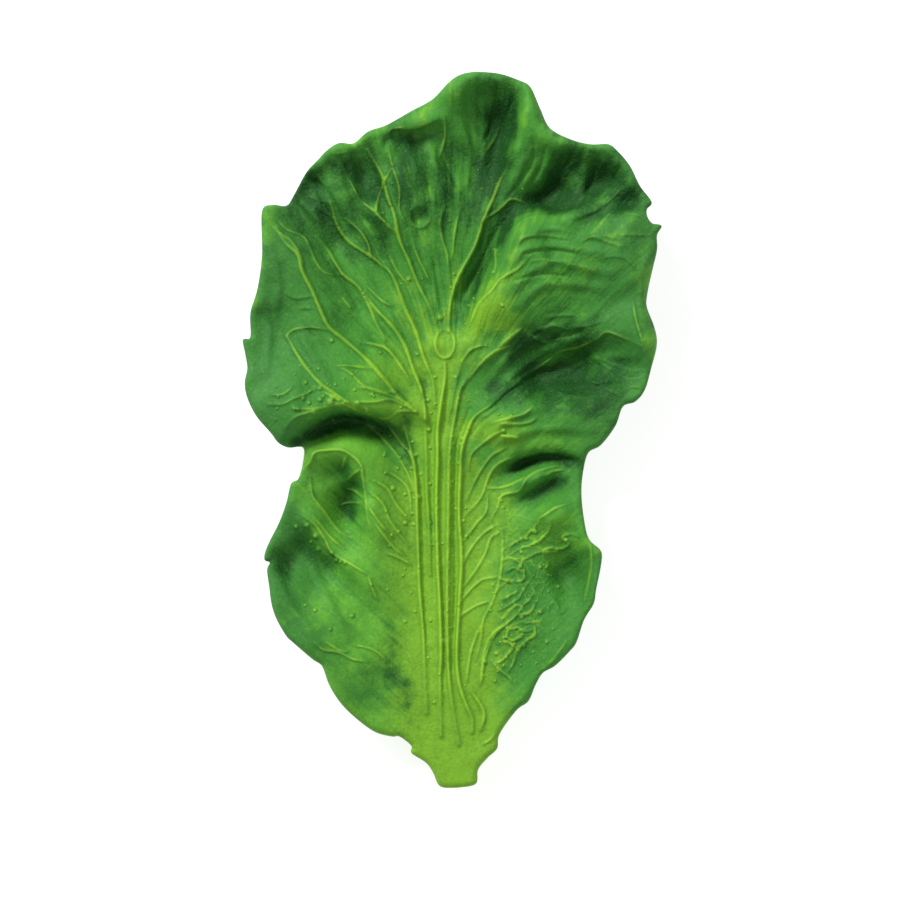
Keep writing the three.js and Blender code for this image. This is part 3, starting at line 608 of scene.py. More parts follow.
WRINKLES = [
    [(9, 72.7), (8.6, 67), (7.8, 63), (6.6, 60.6)],
    [(13.4, 70.3), (11, 65.4), (10.2, 61.4)],
    [(3.8, 72.7), (4.6, 68.6), (7, 64)],
    [(-1.9, 57.4), (-0.3, 54.2), (1.4, 51)],
    [(-5, 52), (-4.3, 47)],
    [(-31.6, 53.4), (-26.8, 51), (-24.4, 47)],
    [(-34, 47.5), (-31, 47), (-28.5, 44.5)],
    [(24.7, 54.4), (23, 50.2), (19.8, 45.8)],
    [(29.5, 54.2), (27.8, 49.4), (24.7, 46.5)],
    [(35, 55), (32.7, 51), (30, 48.5)],
    [(16.6, 62.2), (17, 57), (13.4, 51), (8.8, 46)],
    [(19.5, 59), (18.5, 55), (15.5, 50.5)],
    [(-9.5, 58), (-9, 54), (-7.5, 50.5)],
    [(-19, 44), (-15.5, 37), (-13, 31.5)],
    [(-27, 37), (-22, 30), (-19, 24.5)],
    [(-3.8, 36), (-3, 31), (-2.2, 26)],
    [(14.5, 36.5), (20, 37.5), (26, 36.5)],
    [(13, 31), (18, 32.5), (24, 32)],
    [(11, 9), (17, 14), (23, 16.5)],
    [(7, 3.5), (12, 8), (18, 11)],
    [(22, 7), (28, 9), (34, 10)],
    [(4, -1), (6.5, 2), (10, 4.5)],
]
# Strength, middle, half width and half length of the raised rings: the midrib's eye and a small crater.
RINGS = [(1, (-1.5, 18.25), 2.0, 3.0), (0.62, (-6.75, 44.75), 2.1, 2.3)]
RING_STEPS = 16
ring_turns = [math.tau * k / RING_STEPS for k in range(RING_STEPS + 1)]
ring_courses = [
    (strength, [(x + half_width * math.sin(turn), y + half_length * math.cos(turn)) for turn in ring_turns])
    for strength, (x, y), half_width, half_length in RINGS
]


def at_full_strength(courses):
    """The courses, each with full strength."""
    return [(1, course) for course in courses]


# Kind, half width, rise, how much shows on the back, how much of the ridge paint it takes (below 0 it lays
# painted shade in the groove), and its courses.
VEIN_KINDS = [
    ("rib ridges", 0.45, 0.75, 0.0, 1.0, RIB_RIDGES),
    ("rib grooves", 0.42, -0.5, 0.0, -0.8, RIB_GROOVES),
    ("main veins", 0.45, 0.75, 0.5, 1.3, MAIN_VEINS),
    ("side veins", 0.34, 0.4, 0.3, 1.0, at_full_strength(SIDE_VEINS)),
    ("vein net", 0.32, 0.4, 0.0, 0.9, at_full_strength(NET_VEINS)),
    ("creases", 0.34, 0.3, 0.0, 0.45, at_full_strength(CREASES)),
    ("furrows", 0.9, 0.6, 0.3, 0.3, at_full_strength(FURROWS)),
    ("pleats", 0.65, -0.9, 0.0, -0.8, PLEATS),
    ("wrinkles", 0.42, -0.45, 0.0, -0.6, at_full_strength(WRINKLES)),
    ("rings", 0.42, 0.5, 0.0, 0.9, ring_courses),
]
VEIN_END_SHARE = 0.25
VEIN_END_STRENGTH = 0.45


def course_points(courses):
    """Every course's smooth points, with the strength at each and the edges that join them."""
    places, strengths, edges = [], [], []
    for strength, points in courses:
        path = smooth_path(points)
        along = np.linspace(0, 1, len(path))
        taper = smooth_step(np.minimum(along, 1 - along) / VEIN_END_SHARE)
        edges += [(len(places) + k, len(places) + k + 1) for k in range(len(path) - 1)]
        places += path.tolist()
        strengths += (strength * (VEIN_END_STRENGTH + (1 - VEIN_END_STRENGTH) * taper)).tolist()
    return places, strengths, edges


# ---- The blisters
# Air caught against the mould left small round blisters all over the face. The larger ones lie in rows on
# the lobes and beside the midrib, and finer ones are strewn between them.

# Place and radius of each larger blister.
BLISTERS = [
    # beside the midrib
    (-2.5, 23.75, 0.8),
    (-4.75, 0.25, 0.5), (-4.5, -3.5, 0.4), (2, -1.5, 0.5), (1.75, -2.75, 0.4), (1.25, -6.75, 0.4),
    (-9.5, -3.75, 0.5), (-10.75, -5.5, 0.4), (-7.5, -5, 0.5), (-14, -5, 0.4), (-8.25, -2.25, 0.4),
    (-8.5, -7.75, 0.5), (-11.25, -7.75, 0.4), (-6.5, -9, 0.4), (-12.25, -12, 0.5), (-9.75, -13.25, 0.4),
    (-6.75, -13.75, 0.5), (-4.5, -11, 0.4), (-8.25, -17.25, 0.4), (-9.75, -19.25, 0.5),
    (-8, -19.5, 0.4), (-11, -21, 0.4), (-12.5, -21.75, 0.4), (0.75, -16.25, 0.4), (2.5, -18.75, 0.4),
    (3, -22, 0.4), (10.75, 0, 0.5), (12.25, 3.25, 0.4),
    # left lobe
    (-32.5, 4.5, 0.6), (-31.75, 4.5, 0.5), (-30.75, 6.75, 0.6), (-29.5, 5.75, 0.5), (-27.25, 6.5, 0.6),
    (-27.25, 8.75, 0.5), (-25.25, 6, 0.9), (-24.75, 6.75, 0.6), (-19.5, 5.75, 0.6), (-16.5, 7.5, 0.5),
    (-17.75, 4.25, 0.5), (-28.5, 3.75, 0.6), (-25, 18.75, 0.5), (-30.25, 10, 0.5),
    # lower left
    (-32.5, -20, 0.5), (-30.25, -19.75, 0.6), (-28.5, -22, 0.6), (-29.5, -23.25, 0.4),
    (-28, -24.75, 0.5), (-25, -25.5, 0.5), (-24.25, -27, 0.5), (-23.25, -27.25, 0.4),
    (-22.25, -27.5, 0.4), (-28.5, -37.25, 0.5), (-30.5, -36.25, 0.4), (-20.75, -38.5, 0.5),
    (-25.25, -41.25, 0.4), (-16.75, -32, 0.4),
    # over the net
    (17.25, -21, 0.6), (15.5, -22.5, 0.5), (14.5, -25.25, 0.5), (19.75, -28.25, 0.6),
    (23.75, -22.75, 0.5), (14.5, -38.75, 0.6), (18.5, -37.75, 0.5), (11.5, -31.25, 0.5),
    (14.25, -28.25, 0.6), (22.25, -32.5, 0.5), (15, -44.75, 0.5), (9.25, -46.5, 0.5),
    (12.75, -44.75, 0.5), (19.75, -44, 0.4), (7, -48.25, 0.5), (10.75, -49, 0.4), (9, -52.25, 0.4),
    # in the fan of veins
    (-9, 31.75, 0.5), (-7.25, 16, 0.4), (-3.5, 11.25, 0.4), (0.75, 11.25, 0.4), (3.5, 26.25, 0.5),
    (4.5, 27.75, 0.4), (-0.25, 30, 0.4), (8.5, 33, 0.4), (10.5, 26, 0.4), (-16.25, 7.25, 0.4),
    (-5, 6.5, 0.5),
]
# Middle, half size and count of each field of fine blisters.
FINE_BLISTER_FIELDS = [
    ((0, -25), (14, 32), 46),
    ((-28, 8), (9, 6), 24),
    ((15, -38), (8, 13), 26),
    ((-2, 35), (17, 20), 22),
]
FINE_BLISTER_RADII = (0.2, 0.34)
BLISTER_HEIGHT = 0.75
BLISTER_PAINT = 1.1
DOME_POWER = 0.6
rng = np.random.default_rng(7)
for (middle_x, middle_y), (half_x, half_y), count in FINE_BLISTER_FIELDS:
    for _ in range(count):
        shift_x = rng.uniform(-1, 1)
        shift_y = rng.uniform(-1, 1)
        radius = rng.uniform(*FINE_BLISTER_RADII)
        BLISTERS.append((middle_x + half_x * shift_x, middle_y + half_y * shift_y, radius))

# ---- The casting
# One skin wraps the whole leaf, face and back, and meets itself on the rounded edge. It is woven finest
# along the veins, and each blister has rings of its own.
EDGE_STEP = 0.45
ON_OUTLINE = 1e-4
EDGE_RINGS = (0.12, 0.4, 0.8, 1.3)
FACE_STEP = 0.28
BACK_STEP = 0.46
LATTICE_HALF = (45, 76)
ROW_SHARE = math.sqrt(0.75)
RING_SHARE = 0.9
# The finest weave reaches this far from a line, and isn't needed along lines wider than the next value.
VEIN_CLEARANCE = 0.8
WIDE_HALF_WIDTH = 0.6
# Share of a blister's radius, and how many points go round it there.
BLISTER_RINGS = ((0.4, 6), (0.8, 10), (1.12, 12))
BLISTER_CLEARANCE = 1.3
closed_outline = np.vstack([outline, outline[:1]])
rim = even_path(outline, EDGE_STEP)
ahead = np.roll(rim, -1, axis=0) - np.roll(rim, 1, axis=0)
inward = np.column_stack([ahead[:, 1], -ahead[:, 0]]) / np.hypot(*ahead.T)[:, None]


def search_tree(places):
    tree = KDTree(len(places))
    for index, (x, y) in enumerate(places):
        tree.insert((x, y, 0), index)
    tree.balance()
    return tree


def woven_lattice(step, tree):
    """A hexagonal lattice inside the outline, with three points in four left out away from the veins."""
    rows = np.arange(round(2 * LATTICE_HALF[1] / (step * ROW_SHARE)))
    columns = np.arange(round(2 * LATTICE_HALF[0] / step))
    i, j = (index.ravel() for index in np.meshgrid(columns, rows))
    x = step * (i + 0.5 * (j % 2)) - LATTICE_HALF[0]
    y = step * ROW_SHARE * j - LATTICE_HALF[1]
    inside = inside_outline(x, y)
    i, j, x, y = i[inside], j[inside], x[inside], y[inside]
    sparse = (j % 2 == 0) & (i % 2 == j // 2 % 2)
    near = [tree.find((a, b, 0))[2] < VEIN_CLEARANCE for a, b in zip(x.tolist(), y.tolist())]
    keep = sparse | np.array(near)
    return x[keep], y[keep]


def plan_of(step, courses, blisters):
    """Places over the leaf's plan: its outline, rings just inside it, the blisters and the lattice."""
    x, y = woven_lattice(step, search_tree(course_points(courses)[0]))
    inset = nearest_on(closed_outline, x, y)[0]
    keep = inset > EDGE_RINGS[-1] + step
    x, y = x[keep], y[keep]
    places = [rim]
    for ring in EDGE_RINGS:
        offset = rim + ring * inward
        clear = nearest_on(closed_outline, offset[:, 0], offset[:, 1])[0] > RING_SHARE * ring
        places.append(offset[clear])
    lattice_clear = np.ones(len(x), bool)
    for blister_x, blister_y, radius in blisters:
        away = np.hypot(x - blister_x, y - blister_y)
        lattice_clear &= away > BLISTER_CLEARANCE * radius
        for share, count in BLISTER_RINGS:
            turns = np.arange(count) * math.tau / count
            ring_x = blister_x + share * radius * np.cos(turns)
            ring_y = blister_y + share * radius * np.sin(turns)
            places.append(np.column_stack([ring_x, ring_y]))
        places.append([(blister_x, blister_y)])
    places.append(np.column_stack([x[lattice_clear], y[lattice_clear]]))
    return np.vstack(places)


def triangulated(places):
    edges = [(i, (i + 1) % len(rim)) for i in range(len(rim))]
    found = delaunay_2d_cdt([Vector(p) for p in places.tolist()], edges, [], 0, TINY, False)
    places, faces = np.array([tuple(v) for v in found[0]]), np.array(found[2])
    middles = places[faces].mean(1)
    return places, faces[inside_outline(middles[:, 0], middles[:, 1])]


def soft_most(a, b, softness):
    """The greater of two heights, with a rounded turn from one to the other."""
    return 0.5 * (a + b + np.sqrt((a - b) ** 2 + softness**2))


def heights_at(x, y):
    """The face's and the back's height, which meet on the outline with a round edge between, and how much
    relief the place takes, from 0 on that edge to 1."""
    inset = nearest_on(closed_outline, x, y)[0]
    towards = smooth_step(inset / MARGIN_WIDTH)
    blade = MARGIN_THICKNESS + (BLADE_THICKNESS - MARGIN_THICKNESS) * towards
    uncut = MIDRIB_THICKNESS + MIDRIB_SINK
    thickness = blade + (uncut - blade) * np.exp(-((x / MIDRIB_REACH) ** 2)) * towards
    top = read_grid(face_grid, x, y)
    under = np.minimum(read_grid(back_grid, x, y) - thickness, top - LEAST_THICKNESS)
    low = np.maximum(under, 0)
    high = soft_most(top, low + LEAST_THICKNESS, HOLLOW_SOFTNESS)
    middle = 0.5 * (high + low)
    roundness = np.sqrt(1 - (1 - np.minimum(inset / EDGE_ROUND, 1)) ** 2)
    roundness[inset < ON_OUTLINE] = 0
    side = smooth_step((inset - RELIEF_START) / RELIEF_RAMP)
    return middle + roundness * (high - middle), middle - roundness * (middle - low), side


fine_kinds = [kind for kind in VEIN_KINDS if kind[1] < WIDE_HALF_WIDTH]
face_courses = [course for kind in fine_kinds for course in kind[5]]
back_courses = [course for kind in fine_kinds if kind[3] > 0 for course in kind[5]]
blister_x, blister_y, _ = np.array(BLISTERS).T
on_leaf = inside_outline(blister_x, blister_y)
blisters_on_leaf = [blister for blister, inside in zip(BLISTERS, on_leaf) if inside]
face_plan, face_faces = triangulated(plan_of(FACE_STEP, face_courses, blisters_on_leaf))
back_plan, back_faces = triangulated(plan_of(BACK_STEP, back_courses, []))
face_z, _, face_side = heights_at(face_plan[:, 0], face_plan[:, 1])
_, back_z, back_side = heights_at(back_plan[:, 0], back_plan[:, 1])
on_rim = len(rim)
plan = np.vstack([face_plan, back_plan[on_rim:]])
height = np.concatenate([face_z, back_z[on_rim:]])
side = np.concatenate([face_side, -back_side[on_rim:]])
back_faces = back_faces[:, ::-1]
back_faces = np.where(back_faces < on_rim, back_faces, back_faces + len(face_plan) - on_rim)
all_faces = np.vstack([face_faces, back_faces])
leaf_mesh = bpy.data.meshes.new("leaf")
leaf_mesh.from_pydata(np.column_stack([plan, height]) * MM, [], all_faces)
leaf_mesh.shade_smooth()
leaf = bpy.data.objects.new("leaf", leaf_mesh)
bpy.context.scene.collection.objects.link(leaf)


def give(mesh, name, kind, values):
    """Store a value for each of the mesh's points under a name."""
    attribute = mesh.attributes.new(name, kind, "POINT")
    attribute.data.foreach_set("vector" if kind == "FLOAT_VECTOR" else "value", np.ravel(values))


give(leaf_mesh, "plan", "FLOAT_VECTOR", np.column_stack([plan * MM, np.zeros(len(plan))]))
# The face's points have a side of 1, the back's -1, and both fade to 0 on the edge.
give(leaf_mesh, "side", "FLOAT", side)


class Wire:
    """An output of a node. Sums on wires add Math nodes to its tree, and node() adds any other node."""

    def __init__(self, tree, socket=None):
        self.tree = tree
        self.socket = socket

    def node(self, kind, settings, sockets, output=0):
        made = self.tree.nodes.new(kind)
        for name, value in settings.items():
            setattr(made, name, value)
        for name, value in sockets.items():
            if isinstance(value, Wire):
                self.tree.links.new(value.socket, made.inputs[name])
            else:
                made.inputs[name].default_value = value
        return Wire(self.tree, made.outputs[output])

    def maths(self, operation, first, second=0.0):
        return self.node("ShaderNodeMath", {"operation": operation}, {0: first, 1: second})

    def __add__(self, other):
        return self.maths("ADD", self, other)

    def __sub__(self, other):
        return self.maths("SUBTRACT", self, other)

    def __rsub__(self, other):
        return self.maths("SUBTRACT", other, self)

    def __mul__(self, other):
        return self.maths("MULTIPLY", self, other)

    def __truediv__(self, other):
        return self.maths("DIVIDE", self, other)

    def __pow__(self, other):
        return self.maths("POWER", self, other)

    def __neg__(self):
        return self * -1

    def ramp(self, low, high):
        """From 0 at the low value to 1 at the high one, smoothly."""
        settings = {"interpolation_type": "SMOOTHSTEP"}
        return self.node("ShaderNodeMapRange", settings, {0: self, 1: low, 2: high})

    def noise(self, per_metre, detail=2.0):
        """Noise about 0 at a place."""
        made = self.node("ShaderNodeTexNoise", {}, {"Vector": self, "Scale": per_metre, "Detail": detail})
        return made - 0.5

    def most(self, other):
        return self.maths("MAXIMUM", self, other)

    def least(self, other):
        return self.maths("MINIMUM", self, other)

    __radd__ = __add__
    __rmul__ = __mul__


def geometry_tree(name, inputs):
    """A tree with named inputs, and its inputs as wires."""
    tree = bpy.data.node_groups.new(name, "GeometryNodeTree")
    for label, kind in inputs.items():
        tree.interface.new_socket(label, in_out="INPUT", socket_type=kind)
    tree.interface.new_socket("Leaf", in_out="OUTPUT", socket_type="NodeSocketGeometry")
    entry = tree.nodes.new("NodeGroupInput")
    return tree, {socket.name: Wire(tree, socket) for socket in entry.outputs if socket.name}


def finish_tree(leaf_wire, rubber):
    realised = leaf_wire.node("GeometryNodeRealizeInstances", {}, {"Geometry": leaf_wire})
    painted = leaf_wire.node("GeometryNodeSetMaterial", {}, {"Geometry": realised, "Material": rubber})
    exit_node = leaf_wire.tree.nodes.new("NodeGroupOutput")
    leaf_wire.tree.links.new(painted.socket, exit_node.inputs[0])


def named_value(wire, name, kind="FLOAT"):
    return wire.node("GeometryNodeInputNamedAttribute", {"data_type": kind}, {"Name": name})


def lifted(leaf_wire, rise):
    """The leaf with its points lifted by the rise, but never through the table under it."""
    place = leaf_wire.node("GeometryNodeInputPosition", {}, {})
    floor = leaf_wire.node("ShaderNodeSeparateXYZ", {}, {0: place}, 2)
    offset = leaf_wire.node("ShaderNodeCombineXYZ", {}, {2: rise.most(-floor)})
    return leaf_wire.node("GeometryNodeSetPosition", {}, {"Geometry": leaf_wire, "Offset": offset})


def noted(leaf_wire, name, value):
    """The leaf with a value stored at each point under a name, for the paint to read."""
    settings = {"data_type": "FLOAT", "domain": "POINT"}
    sockets = {"Geometry": leaf_wire, "Name": name, "Value": value}
    return leaf_wire.node("GeometryNodeStoreNamedAttribute", settings, sockets)


def nearest_guide(start, guide_object, elements):
    """The distance to a guide's points or edges, and the strength held by its nearest point."""
    measured = start.node("GeometryNodeObjectInfo", {}, {"Object": guide_object}, "Geometry")
    spot = named_value(start, "plan", "FLOAT_VECTOR")
    sockets = {0: measured, "Sample Position": spot}
    distance = start.node("GeometryNodeProximity", {"target_element": elements}, sockets, "Distance")
    nearest = start.node("GeometryNodeSampleNearest", {}, {"Geometry": measured, "Sample Position": spot})
    sockets = {"Geometry": measured, "Value": named_value(start, "strength"), "Index": nearest}
    return distance, start.node("GeometryNodeSampleIndex", {"data_type": "FLOAT"}, sockets)


vein_tree, given = geometry_tree("vein raiser", {
    "Leaf": "NodeSocketGeometry",
    "Courses": "NodeSocketObject",
    "Half Width": "NodeSocketFloat",
    "Rise": "NodeSocketFloat",
    "Back Share": "NodeSocketFloat",
    "Ridge Paint": "NodeSocketFloat",
    "Rubber": "NodeSocketMaterial",
})
start = given["Leaf"]
distance, strength = nearest_guide(start, given["Courses"], "EDGES")
spread = distance / given["Half Width"]
profile = strength * start.maths("EXPONENT", -(spread * spread))
side_wire = named_value(start, "side")
shown = side_wire.most(0) + given["Back Share"] * side_wire.least(0)
raised = lifted(start, given["Rise"] * profile * shown)
crest = named_value(start, "crest") + profile * given["Ridge Paint"]
finish_tree(noted(raised, "crest", crest), given["Rubber"])

blister_tree, given = geometry_tree("blister raiser", {
    "Leaf": "NodeSocketGeometry",
    "Blisters": "NodeSocketObject",
    "Height": "NodeSocketFloat",
    "Rubber": "NodeSocketMaterial",
})
start = given["Leaf"]
distance, radius = nearest_guide(start, given["Blisters"], "POINTS")
spread = distance / radius
dome = (1 - spread * spread).most(0) ** DOME_POWER
raised = lifted(start, given["Height"] * radius * dome * named_value(start, "side").most(0))
finish_tree(noted(raised, "crest", named_value(start, "crest").most(dome * BLISTER_PAINT)), given["Rubber"])


LUMPS_PER_METRE = 150
LUMP_DEPTH = 1.1 * MM
STREAKS_PER_METRE = 320
STREAK_DEPTH = 0.9 * MM
STREAK_DETAIL = 3.0
STREAK_SLOPE = 0.9
STREAK_STRETCH = 0.14
FAN_FOOT = 4 * MM
FAN_RADIUS = 35 * MM
# Streaks fade in between these distances: from the fan's foot, and from the midrib below it.
FAN_START = (8 * MM, 20 * MM)
BLADE_START = (5 * MM, 13 * MM)
BLADE_STREAKS = 0.5
# How steeply the streaks of the left half give way to the right half's.
HALVES_PER_METRE = 600


def streaks(place, per_metre):
    """Noise about 0, drawn out as the blade grew: up and out from the midrib, and fanned above its eye."""
    x, y = (place.node("ShaderNodeSeparateXYZ", {}, {0: place}, axis) for axis in (0, 1))
    away = place.maths("ABSOLUTE", x)
    slanted = y - STREAK_SLOPE * away
    above = y - FAN_FOOT
    fan = slanted.maths("GREATER_THAN", slanted, FAN_FOOT)
    turned = FAN_RADIUS * (math.atan(1 / STREAK_SLOPE) - place.maths("ARCTAN2", away, above)) + FAN_FOOT
    out = (away * away + above * above) ** 0.5
    across = fan * turned + (1 - fan) * slanted
    along = fan * out + (1 - fan) * away * math.hypot(1, STREAK_SLOPE)
    half = (HALVES_PER_METRE * x).most(-1).least(1)
    sockets = {0: across * per_metre, 1: along * (per_metre * STREAK_STRETCH), 2: half}
    drawn = place.node("ShaderNodeCombineXYZ", {}, sockets)
    felt = fan * out.ramp(*FAN_START) + (1 - fan) * away.ramp(*BLADE_START) * BLADE_STREAKS
    return drawn.noise(1, STREAK_DETAIL) * felt


crumple_tree, given = geometry_tree("crumpler", {
    "Leaf": "NodeSocketGeometry",
    "Lump Depth": "NodeSocketFloat",
    "Streak Depth": "NodeSocketFloat",
    "Rubber": "NodeSocketMaterial",
})
start = given["Leaf"]
place = named_value(start, "plan", "FLOAT_VECTOR")
lumps = place.noise(LUMPS_PER_METRE)
crumpled = given["Lump Depth"] * lumps + given["Streak Depth"] * streaks(place, STREAKS_PER_METRE)
finish_tree(lifted(start, crumpled * named_value(start, "side")), given["Rubber"])


def guide(name, places, strengths, edges):
    """Points, and edges if any, that a modifier measures from. It is thrown away once the leaf is cast."""
    mesh = bpy.data.meshes.new(name)
    mesh.from_pydata([(x * MM, y * MM, 0) for x, y in places], edges, [])
    give(mesh, "strength", "FLOAT", np.array(strengths))
    made = bpy.data.objects.new(name, mesh)
    bpy.context.scene.collection.objects.link(made)
    return made


def shape_with(tree, values):
    modifier = leaf.modifiers.new(tree.name, "NODES")
    modifier.node_group = tree
    for socket in tree.interface.items_tree:
        if socket.name in values:
            modifier[socket.identifier] = values[socket.name]


rubber = bpy.data.materials.new("painted rubber")
rubber.use_nodes = True
guides = []
for name, half_width, rise, back_share, ridge_paint, courses in VEIN_KINDS:
    guides.append(guide(name, *course_points(courses)))
    shape_with(vein_tree, {
        "Courses": guides[-1],
        "Half Width": half_width * MM,
        "Rise": rise * MM,
        "Back Share": back_share,
        "Ridge Paint": ridge_paint,
        "Rubber": rubber,
    })
blister_places = [(x, y) for x, y, _ in blisters_on_leaf]
guides.append(guide("blisters", blister_places, [radius * MM for _, _, radius in blisters_on_leaf], []))
shape_with(blister_tree, {"Blisters": guides[-1], "Height": BLISTER_HEIGHT, "Rubber": rubber})
shape_with(crumple_tree, {"Lump Depth": LUMP_DEPTH, "Streak Depth": STREAK_DEPTH, "Rubber": rubber})
depsgraph = bpy.context.evaluated_depsgraph_get()
cast_mesh = bpy.data.meshes.new_from_object(
    leaf.evaluated_get(depsgraph), preserve_all_data_layers=True, depsgraph=depsgraph
)
leaf.modifiers.clear()
leaf.data = cast_mesh
bpy.data.meshes.remove(leaf_mesh)
for guide_object in guides:
    bpy.data.meshes.remove(guide_object.data)

# ---- The paint
# The rubber is mid green all through. Dark green is sprayed over the tip and into the hollows, where it is
# also painted shade; lime green along the midrib and over the crests, where it is partly a painted
# highlight; and a drier yellow green is dragged over the veins and blisters.

# Each stroke has a strength, how far it reaches left and right of its path, and its path.
# Some lime strokes lighten places that lie in shade, as in the left dimple: painted light.
LIME_STROKES = [
    (1.0, 13, 13, [(1, -76), (-1, -50), (-3, -22)]),
    (0.8, 12, 9, [(-3, -22), (-2, -4)]),
    (0.6, 8, 4, [(-2, -4), (-2, 16)]),
    (0.55, 6, 6, [(-9, 8), (-14, 12), (-20, 12)]),
    (0.3, 7, 7, [(-8, 14), (-13, 22), (-16, 29)]),
    (0.2, 7, 6, [(-2, 18), (-4, 28), (-6, 38)]),
    (0.7, 3.5, 2.5, [(3, 21), (8, 23.5), (14, 21.5)]),
    (0.5, 4, 4, [(5, 19), (8, 25), (12, 30)]),
    (0.2, 4, 4, [(11, 32), (15, 37), (21, 39)]),
    (0.4, 3, 3, [(17, 27), (24, 31), (30, 34), (38, 34)]),
    (0.3, 4, 4, [(14, 29), (20, 31), (27, 34)]),
    (0.8, 3, 3, [(-31, -6), (-27, -4), (-21, -4.5), (-17, -7), (-14, -14), (-13, -24)]),
    (0.5, 3, 3, [(-26, -4), (-17, -2)]),
    (0.6, 4.5, 3.5, [(-33, -12), (-30, -16), (-26, -20), (-20, -26)]),
    (0.5, 4, 4, [(-29, -9), (-26, -13)]),
    (0.15, 4, 4, [(-30, -37), (-26, -30), (-22, -28)]),
    (0.5, 4, 4, [(10, -14), (13, -19), (17, -21), (23, -20), (21, -28)]),
    (0.4, 2, 2, [(10, -3), (16, -4.5), (20, -4)]),
    (0.4, 2, 2, [(-0.5, 24), (1, 30), (3, 35)]),
    # Painted light in the shaded left dimple.
    (0.5, 2.5, 2.5, [(-24.5, -12), (-24, -18)]),
    (0.5, 5, 4, [(-15, -28), (-15, -44)]),
    (0.4, 3, 3, [(-31, -46), (-26, -52)]),
    (0.5, 4, 4, [(16, -24), (22, -23), (28, -24)]),
    (0.6, 2.5, 2.5, [(9, -1), (14, -1), (20, -2), (25, -3)]),
    (0.2, 3, 2, [(-40, 6), (-34, 3), (-27, 5)]),
    (0.5, 2.5, 3.5, [(-20, 6), (-14, 4), (-9, 4)]),
    (0.45, 1.8, 1.8, [(-19, 4.5), (-14, 1.5)]),
    # Painted light in the shaded left dimple.
    (0.35, 2.5, 2.5, [(-26, -12), (-24, -18)]),
    (0.35, 0.8, 0.8, [(-10, 64.6), (-6, 66.5), (-2, 69)]),
    (0.35, 3, 3, [(-11, 59), (-5, 59.5)]),
    (0.4, 1, 1, [(-22, 59), (-16, 61.5)]),
    (0.4, 0.9, 0.9, [(18, 64), (24, 60), (31, 58.5)]),
    (0.5, 3, 3, [(4, 0), (9, 1), (14, 0)]),
    (0.2, 4, 4, [(9, -20), (10, -28)]),
    (0.35, 3, 3, [(-26, -43), (-16, -46)]),
    (0.4, 6, 8, [(-20, -26), (-22, -35), (-19, -46)]),
    (0.7, 3, 3, [(-26, -55), (-18, -61), (-10, -65)]),
    (0.7, 14, 14, [(-6, -66), (2, -72)]),
    (0.5, 2, 2, [(41.5, 38), (40.5, 28), (41.5, 20), (42, 12)]),
    (0.4, 2, 2, [(-38, 46), (-40, 36), (-42, 24)]),
    (0.4, 1.2, 1.2, [(16, 70), (15, 65), (13.3, 59)]),
]
